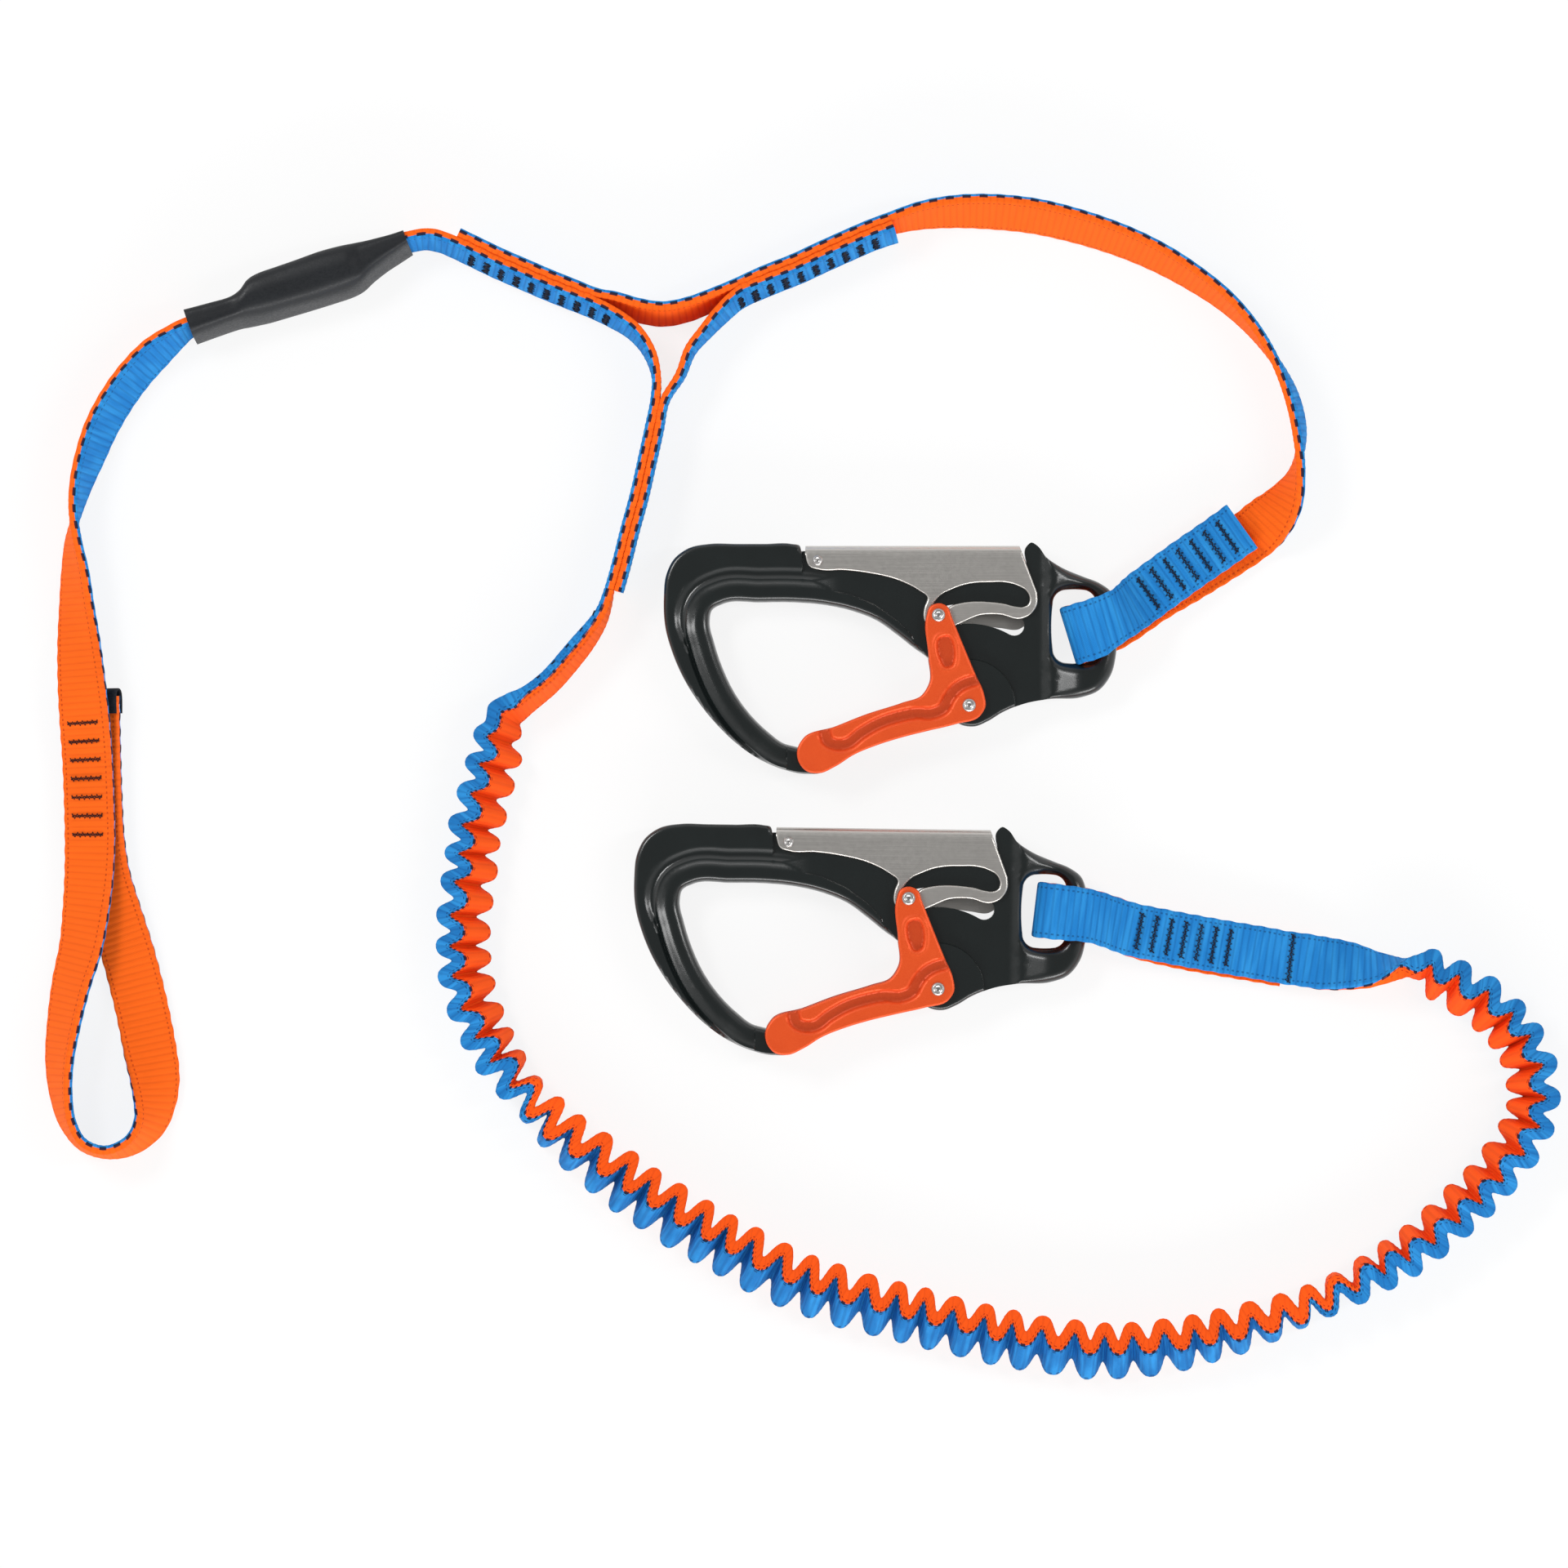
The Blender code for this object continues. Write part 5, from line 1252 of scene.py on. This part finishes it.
def pocket_area():
    """Area of the body's faces that is thinned for the lock plate and the gate arms."""
    area = [(-47.9, 52.0), (26.0, 52.0), (26.0, -3.0)]
    for k in range(33):
        angle = math.radians(-5 + 140 * k / 32)
        area.append((BOSS_RADIUS * math.cos(angle), BOSS_RADIUS * math.sin(angle)))
    area += [(-14.2, 12.0), (-16.6, 20.2), (-20.5, 24.2), (-27.0, 28.8), (-34.0, 31.8),
             (-42.0, 33.4), (-47.9, 33.8)]
    return area


def even(line, step=0.5, closed=False):
    """The line with straight stretches divided about every step."""
    line = [np.array(p, float) for p in line]
    if closed:
        line = line + line[:1]
    out = []
    for a, b in zip(line, line[1:]):
        parts = max(1, round(np.linalg.norm(b - a) / step))
        out += [a + (b - a) * k / parts for k in range(parts)]
    if not closed:
        out.append(line[-1])
    return np.array(out)


# Section of the hook inwards from its hole: distance and height below the flat land
RIB_CREST = 6.7
HOOK_SECTION = [(0.0, -3.3), (0.25, -2.45), (0.6, -1.95), (1.1, -1.55), (1.8, -1.28), (2.6, -1.2),
                (3.6, -1.25), (4.6, -1.02), (5.4, -0.62), (6.1, -0.22), (RIB_CREST, -0.08)]
HOOK_ROWS = (5.9, 6.3, 6.7, 7.0, 7.35, 7.75, 8.15, 8.6, 9.1, 9.7, 10.3, 10.9)
GROOVE_DEPTH = 0.85
GROOVE_NARROW = 1.5
GROOVE_WIDE = 3.6
HOOK_SIDE = (2, 48)               # the hook's moulded section lies left of and below these,
HOOK_FADE = (-16.0, -8.0)         # and dies away between these, along X
HOOK_ZONE = (5.7, 11.1)           # distances from the hole that the rows of points fill
GROOVE_SPREAD = (14.0, 27.0)      # where the groove grows from narrow to wide, along Y

# Body: edge radii as (over the land, growth towards the bow), then stretches along X or Y
BOW = (23.0, 33.0)
OUTER_EDGE = (1.3, 1.7)
EYE_EDGE = (2.4, 0.6)
SLOT_EDGE = 0.5
TONGUE_EDGE = 0.8
TONGUE_AREA = (-30, -8)           # the tongue lies left of and below these
POCKET_WALL = 0.12                # half the run of the pocket's wall
POCKET_END = (20.0, 24.5)
POCKET_CORNER = ((36.0, 47.0), (-38.9, -36.0))  # along -X, along -Y
NOSE_LINE = -52.4
NOSE_START = -63.0
NOSE_THINNED = 0.5                # how far the face sinks towards the nose
NOSE_RISE = (4.0, 9.0)            # along -Y


def body_shells():
    """The clip's body: one closed shell, the same above and below its middle plane."""
    loop = HOOK_OUTER + HOOK_TONGUE + HOOK_INNER + PIVOT_LOBE + RING_OUTER + HORN
    corner = len(loop) - 1
    outer = closed_outline(loop, (0, corner, corner - 1))
    eye = closed_outline(eye_outline(), (), 0.5)
    slot = arc_band((0, 0), *ARC_SLOT)
    hook_start = len(HOOK_OUTER) + len(HOOK_TONGUE) - 1
    knots = loop[hook_start:hook_start + len(HOOK_INNER) + 2]
    hook = closed_outline(loop, (0, corner, corner - 1), 0.3)
    close = reach_to(hook, even(knots), False) < 0.6
    into = normals_of(hook)[close]
    hook = hook[close]
    into *= 1 if within(hook[60:61] + into[60:61], [outer])[0] else -1
    rows = []
    for distance in HOOK_ROWS:
        row = (hook + into * distance)[::2]
        rows.append(row[np.abs(reach_to(row, hook, False) - distance) < 0.06])
    rows = np.vstack(rows)
    area = pocket_area()
    pocket = even(area, 0.5, True)

    def off_hook(q):
        """Distance from the hook's hole, and which places lie on the hook's side."""
        off = np.full(len(q), 1e9)
        near = (q[:, 0] < HOOK_SIDE[0]) & (q[:, 1] < HOOK_SIDE[1])
        off[near] = np.sqrt(((q[near, None, :] - hook[None]) ** 2).sum(axis=2)).min(axis=1)
        return off, near

    def top(q):
        x, y = q[:, 0], q[:, 1]
        bow = step_up(x, *BOW)
        z = BODY_HALF - (BODY_HALF - RING_HALF) * bow
        z = z - drop(reach_to(q, outer), OUTER_EDGE[0] + OUTER_EDGE[1] * bow)
        z = z - drop(reach_to(q, eye), EYE_EDGE[0] + EYE_EDGE[1] * bow)
        z = z - drop(reach_to(q, slot), SLOT_EDGE)
        inner, near = off_hook(q)
        fall = np.interp(inner, *zip(*HOOK_SECTION), right=0.0)
        width = GROOVE_NARROW + (GROOVE_WIDE - GROOVE_NARROW) * step_up(y, *GROOVE_SPREAD)
        share = np.clip((inner - RIB_CREST) / width, 0, 1)
        groove = GROOVE_DEPTH * np.sin(np.pi * share ** 0.8) ** 1.3
        fall = np.where(inner > RIB_CREST, HOOK_SECTION[-1][1] * (1 - share) - groove, fall)
        z = z + fall * np.where(near, 1.0 - step_up(x, *HOOK_FADE), 0.0)
        depth = reach_to(q, pocket) * np.where(within(q, [pocket]), 1, -1)
        sunk = step_up(depth, -POCKET_WALL, POCKET_WALL) * (1 - step_up(x, *POCKET_END))
        sunk = sunk * (1 - step_up(-x, *POCKET_CORNER[0]) * step_up(-y, *POCKET_CORNER[1]))
        z = np.minimum(z, BODY_HALF - (BODY_HALF - SPINE_HALF) * sunk)
        thinned = step_up(x, NOSE_START, NOSE_LINE) * step_up(-y, *NOSE_RISE)
        z = z - NOSE_THINNED * thinned * (x < NOSE_LINE)
        tongue = (x > NOSE_LINE) & (x < TONGUE_AREA[0]) & (y < TONGUE_AREA[1])
        sides = TONGUE_HALF - drop(reach_to(q, outer), TONGUE_EDGE)
        z = np.where(tongue, np.minimum(z, sides), z)
        return np.maximum(z, 0.0)

    def zone(q):
        off = off_hook(q)[0]
        return (off > HOOK_ZONE[0]) & (off < HOOK_ZONE[1])

    creases = [even([(NOSE_LINE + off, -21), (NOSE_LINE + off, -9)], 0.4) for off in (-0.12, 0.12)]
    for shift in (-0.14, 0.14):
        line = pocket + normals_of(pocket) * shift
        creases.append(line[line[:, 0] < 19.5][:-1])
    return [relief([outer, eye, slot], top, lambda q: -top(q), creases=creases, zone=zone,
                   rows=rows)]


# Gate's channel line and pocket, and the bend of the plate's fold
CHANNEL = [(-41.4, -8.0), (-40.7, -10.1), (-37.5, -11.4), (-34.8, -10.9), (-31.2, -8.2),
           (-26.0, -5.2), (-20.1, -3.2), (-15.3, -2.3), (-10.5, -2.3), (-7.6, -1.0), (-5.7, 2.3),
           (-3.7, 4.7), (-0.9, 6.4), (1.5, 7.1)]
POCKET = [(-8.3, 19.6), (-6.4, 20.1), (-4.2, 12.9), (-4.7, 11.4), (-6.9, 10.7), (-8.1, 12.4)]
CHANNEL_DEPTH = 1.15
CHANNEL_WALL = (1.1, 2.3)         # its wall's distances from the line
POCKET_DEPTH = 0.95
GATE_EDGE = 0.7
PLATE_EDGE = 0.55
PLATE_BEND = 2.2
FOLD_CORNER = 0.3                 # its inner corner


def gate_shells():
    outline = closed_outline(GATE, (), 0.5)
    channel = closed_outline(CHANNEL + CHANNEL[-2:0:-1], (), 0.3)
    pocket = closed_outline(POCKET, (), 0.25)

    def top(q):
        z = CHEEK_OUTER - drop(reach_to(q, outline), GATE_EDGE)
        z = z - CHANNEL_DEPTH * (1 - step_up(reach_to(q, channel), *CHANNEL_WALL))
        depth = reach_to(q, pocket) * np.where(within(q, [pocket]), 1, -1)
        ridge = 0.22 * np.exp(-((depth + 0.75) / 0.40) ** 2)
        return z + ridge - POCKET_DEPTH * step_up(depth, -0.20, 0.45)

    def low(q):
        return np.full(len(q), CHEEK_INNER)

    cheek = relief([outline], top, low, (0.06, 0.2, 0.42, 0.7, 1.1), 0.42)
    web = closed_outline(GATE_WEB, (), 0.8)
    bar = relief([web], lambda q: np.full(len(q), CHEEK_INNER + 0.5),
                 lambda q: np.full(len(q), -CHEEK_INNER - 0.5), (0.4,), 1.5)
    return [cheek, mirrored(cheek), bar]


def plate_shells():
    """The lock plate's two cheeks, joined at its fold; the far one's finger reaches lower."""
    near = closed_outline(PLATE, (0, 1, 2), 0.5)
    far = closed_outline([FAR_FINGER.get(i, p) for i, p in enumerate(PLATE)], (0, 1, 2), 0.5)
    slot = closed_outline(PLATE_SLOT, (), 0.4)
    brow = PLATE[0][1]

    def face(outline):
        def top(q):
            z = PLATE_HALF - drop(brow - q[:, 1], PLATE_BEND)
            edge = np.where(q[:, 1] < brow - PLATE_BEND, np.minimum(reach_to(q, outline),
                                                                    reach_to(q, slot)), 9.0)
            return z - drop(edge, PLATE_EDGE)
        return top

    def low(q):
        inside = PLATE_HALF - PLATE_WALL - drop(brow - PLATE_WALL - q[:, 1], FOLD_CORNER)
        return np.where(q[:, 1] > brow - PLATE_WALL - 0.01, 0.0, inside)

    left, right = PLATE[0][0] + 0.2, PLATE[1][0] + 2.5
    creases = [even([(left, brow - PLATE_WALL - off), (right, brow - PLATE_WALL - off)], 0.6)
               for off in (0.0, 0.08, FOLD_CORNER)]
    for off in (0.1, 0.35, 0.75, PLATE_BEND):
        creases.append(even([(left, brow - off), (right, brow - off)], 0.6))
    halves = [relief([outline, slot], face(outline), low, (0.06, 0.2, 0.4, 0.6, 0.9), 0.9, creases)
              for outline in (near, far)]
    return [halves[0], mirrored(halves[1])]


def pin_shells(radius, reach):
    """Pin with a rolled rim and a dimpled head at either end."""
    head = [(0.0, 0.02), (0.35, 0.04), (0.50, 0.16), (0.68, 0.42), (0.9, 0.50), (1.12, 0.34),
            (1.27, 0.0)]
    top = [(r * radius, reach + 0.05 + z * 0.9) for r, z in head]
    return [lathe(top + [(radius, reach - 0.4), (radius, -reach + 0.4)]
                  + [(r, -z) for r, z in reversed(top)])]


def helix(name, centre, radius, reach, turns, place):
    points = []
    count = int(turns * SPRING_STEPS)
    for k in range(count + 1):
        angle = TAU * k / SPRING_STEPS
        z = reach[0] + SPRING_WIRE + (reach[1] - reach[0] - 2 * SPRING_WIRE) * k / count
        points.append(Vector(((centre[0] + radius * math.cos(angle)) * MM,
                              (centre[1] + radius * math.sin(angle)) * MM, z * MM)))
    item = thread_run(name, [points], SPRING_WIRE * MM, "spring")
    item.matrix_world = place
    return item


PIN = pin_shells(PIN_RADIUS, CHEEK_OUTER)
# piece, node, shells, place in the clip, finish, sharp edges from, body, slot
SHELL_PIECES = [
    ("body", "body", body_shells(), (0, 0), "body", 35, "", "body_anodised"),
    ("gate", "gate", gate_shells(), (0, 0), "gate", 35, "_gate_lever", "gate_anodised"),
    ("plate", "lock_plate", plate_shells(), (0, 0), "plate", 30, "_lock", "plate_steel"),
    ("gate_pivot", "gate_pivot", PIN, (0, 0), "pin", 35, "", "pin_steel"),
    ("lock_pin", "lock_pin", PIN, LOCK_PIN, "pin", 35, "_gate_lever", "pin_steel"),
    ("plate_pivot", "plate_pivot", pin_shells(HINGE_PIN_RADIUS, PLATE_HALF), PLATE_PIN, "pin",
     35, "", "pin_steel"),
]
for tag in ("a", "b"):
    place, clip = clip_matrix(tag), f"clip_{tag}"
    for piece, node, shells, spot, finish, sharp, body, slot in SHELL_PIECES:
        seat = place @ Matrix.Translation((spot[0] * MM, spot[1] * MM, 0))
        item = shells_piece(f"karabiner_{tag}_{piece}", shells, finish, seat, sharp)
        finished(item, clip + body, slot, f"{clip}_{node}")
    for node, centre, form in (("gate_spring", (0, 0), GATE_SPRING),
                               ("lock_spring", PLATE_PIN, LOCK_SPRING)):
        item = helix(f"karabiner_{tag}_{node}", centre, *form, place)
        finished(item, clip, "spring_steel", f"{clip}_{node}")


# Stage
PAPER_WHITE = 0.84


def floor_finish():
    """White paper: seen directly or in a reflection it is mostly plain white, shadows kept faint."""
    f = Finish("floor_white", (0.965, 0.965, 0.965), Roughness=0.9)
    rays = f.add("LightPath").outputs
    seen = f.calc("MAXIMUM", rays["Is Camera Ray"],
                  f.calc("MAXIMUM", rays["Is Glossy Ray"], rays["Is Transmission Ray"]))
    glow = f.add("Emission", {"Color": (1.0, 1.0, 1.0, 1.0), "Strength": 1.0})
    blend = f.add("MixShader", {0: f.calc("MULTIPLY", seen, PAPER_WHITE)})
    f.links.new(f.shader.outputs["BSDF"], blend.inputs[1])
    f.links.new(glow.outputs["Emission"], blend.inputs[2])
    f.links.new(blend.outputs["Shader"], f.nodes["Material Output"].inputs["Surface"])
    return f.data


def stage_setting():
    mesh = bpy.data.meshes.new("floor")
    reach = 6.0
    mesh.from_pydata([(-reach, -reach, 0), (reach, -reach, 0), (reach, reach, 0),
                      (-reach, reach, 0)], [], [(0, 1, 2, 3)])
    floor = linked("floor", mesh)
    mesh.materials.append(floor_finish())


def sky():
    """Plain soft surround: white at the horizon, greyer overhead so that metal has contrast."""
    world = bpy.data.worlds.new("surround")
    bpy.context.scene.world = world
    world.use_nodes = True
    nodes, links = world.node_tree.nodes, world.node_tree.links
    split = nodes.new("ShaderNodeSeparateXYZ")
    links.new(nodes.new("ShaderNodeTexCoord").outputs["Generated"], split.inputs[0])
    ramp = nodes.new("ShaderNodeMapRange")
    ramp.interpolation_type = "SMOOTHSTEP"
    for key, value in (("From Min", 0.25), ("From Max", 0.95), ("To Min", SKY_LOW),
                       ("To Max", SKY_HIGH)):
        ramp.inputs[key].default_value = value
    links.new(split.outputs[2], ramp.inputs["Value"])
    links.new(ramp.outputs["Result"], nodes["Background"].inputs["Strength"])
    nodes["Background"].inputs["Color"].default_value = (1, 1, 1, 1)


def lamp(name, place, aim, size, power):
    data = bpy.data.lights.new(name, "AREA")
    data.shape = "RECTANGLE"
    data.size, data.size_y = size
    data.energy = power
    item = linked(name, data)
    item.location = place
    item.rotation_euler = (Vector(aim) - Vector(place)).to_track_quat("-Z", "Y").to_euler()


SKY_LOW = 1.0
SKY_HIGH = 0.24
CAMERA_DISTANCE = 3.2
stage_setting()
sky()
lamp("softbox_left", (-0.75, 0.55, 1.05), (0, 0, 0), (0.45, 0.30), 7.0)
lamp("softbox_right", (0.85, 0.15, 1.0), (0, 0, 0), (0.14, 0.6), 3.5)
lamp("softbox_front", (0.1, -1.25, 0.55), (0, 0, 0), (1.5, 0.28), 11.0)

view = bpy.data.cameras.new("camera")
view.sensor_width = 36.0
view.lens = view.sensor_width * CAMERA_DISTANCE / (FRAME_PIXELS * PIXEL)
camera = linked("camera", view)
camera.location = floor_point(FRAME_PIXELS / 2, FRAME_PIXELS / 2, CAMERA_DISTANCE)
camera.rotation_euler = (0, 0, 0)
bpy.context.scene.camera = camera
bpy.context.scene.view_settings.view_transform = "Standard"

# Cords: every free stretch of webbing, with the lengths of its line and of the webbing along it
for name, (item, fine, points) in STRAPS.items():
    print("CORD", name, round(length_of(points), 4), "along the webbing",
          round(length_of([s.point for s in fine]), 4))
    tuple(points[0])
    length_of(points)
    [tuple(p) for p in points]
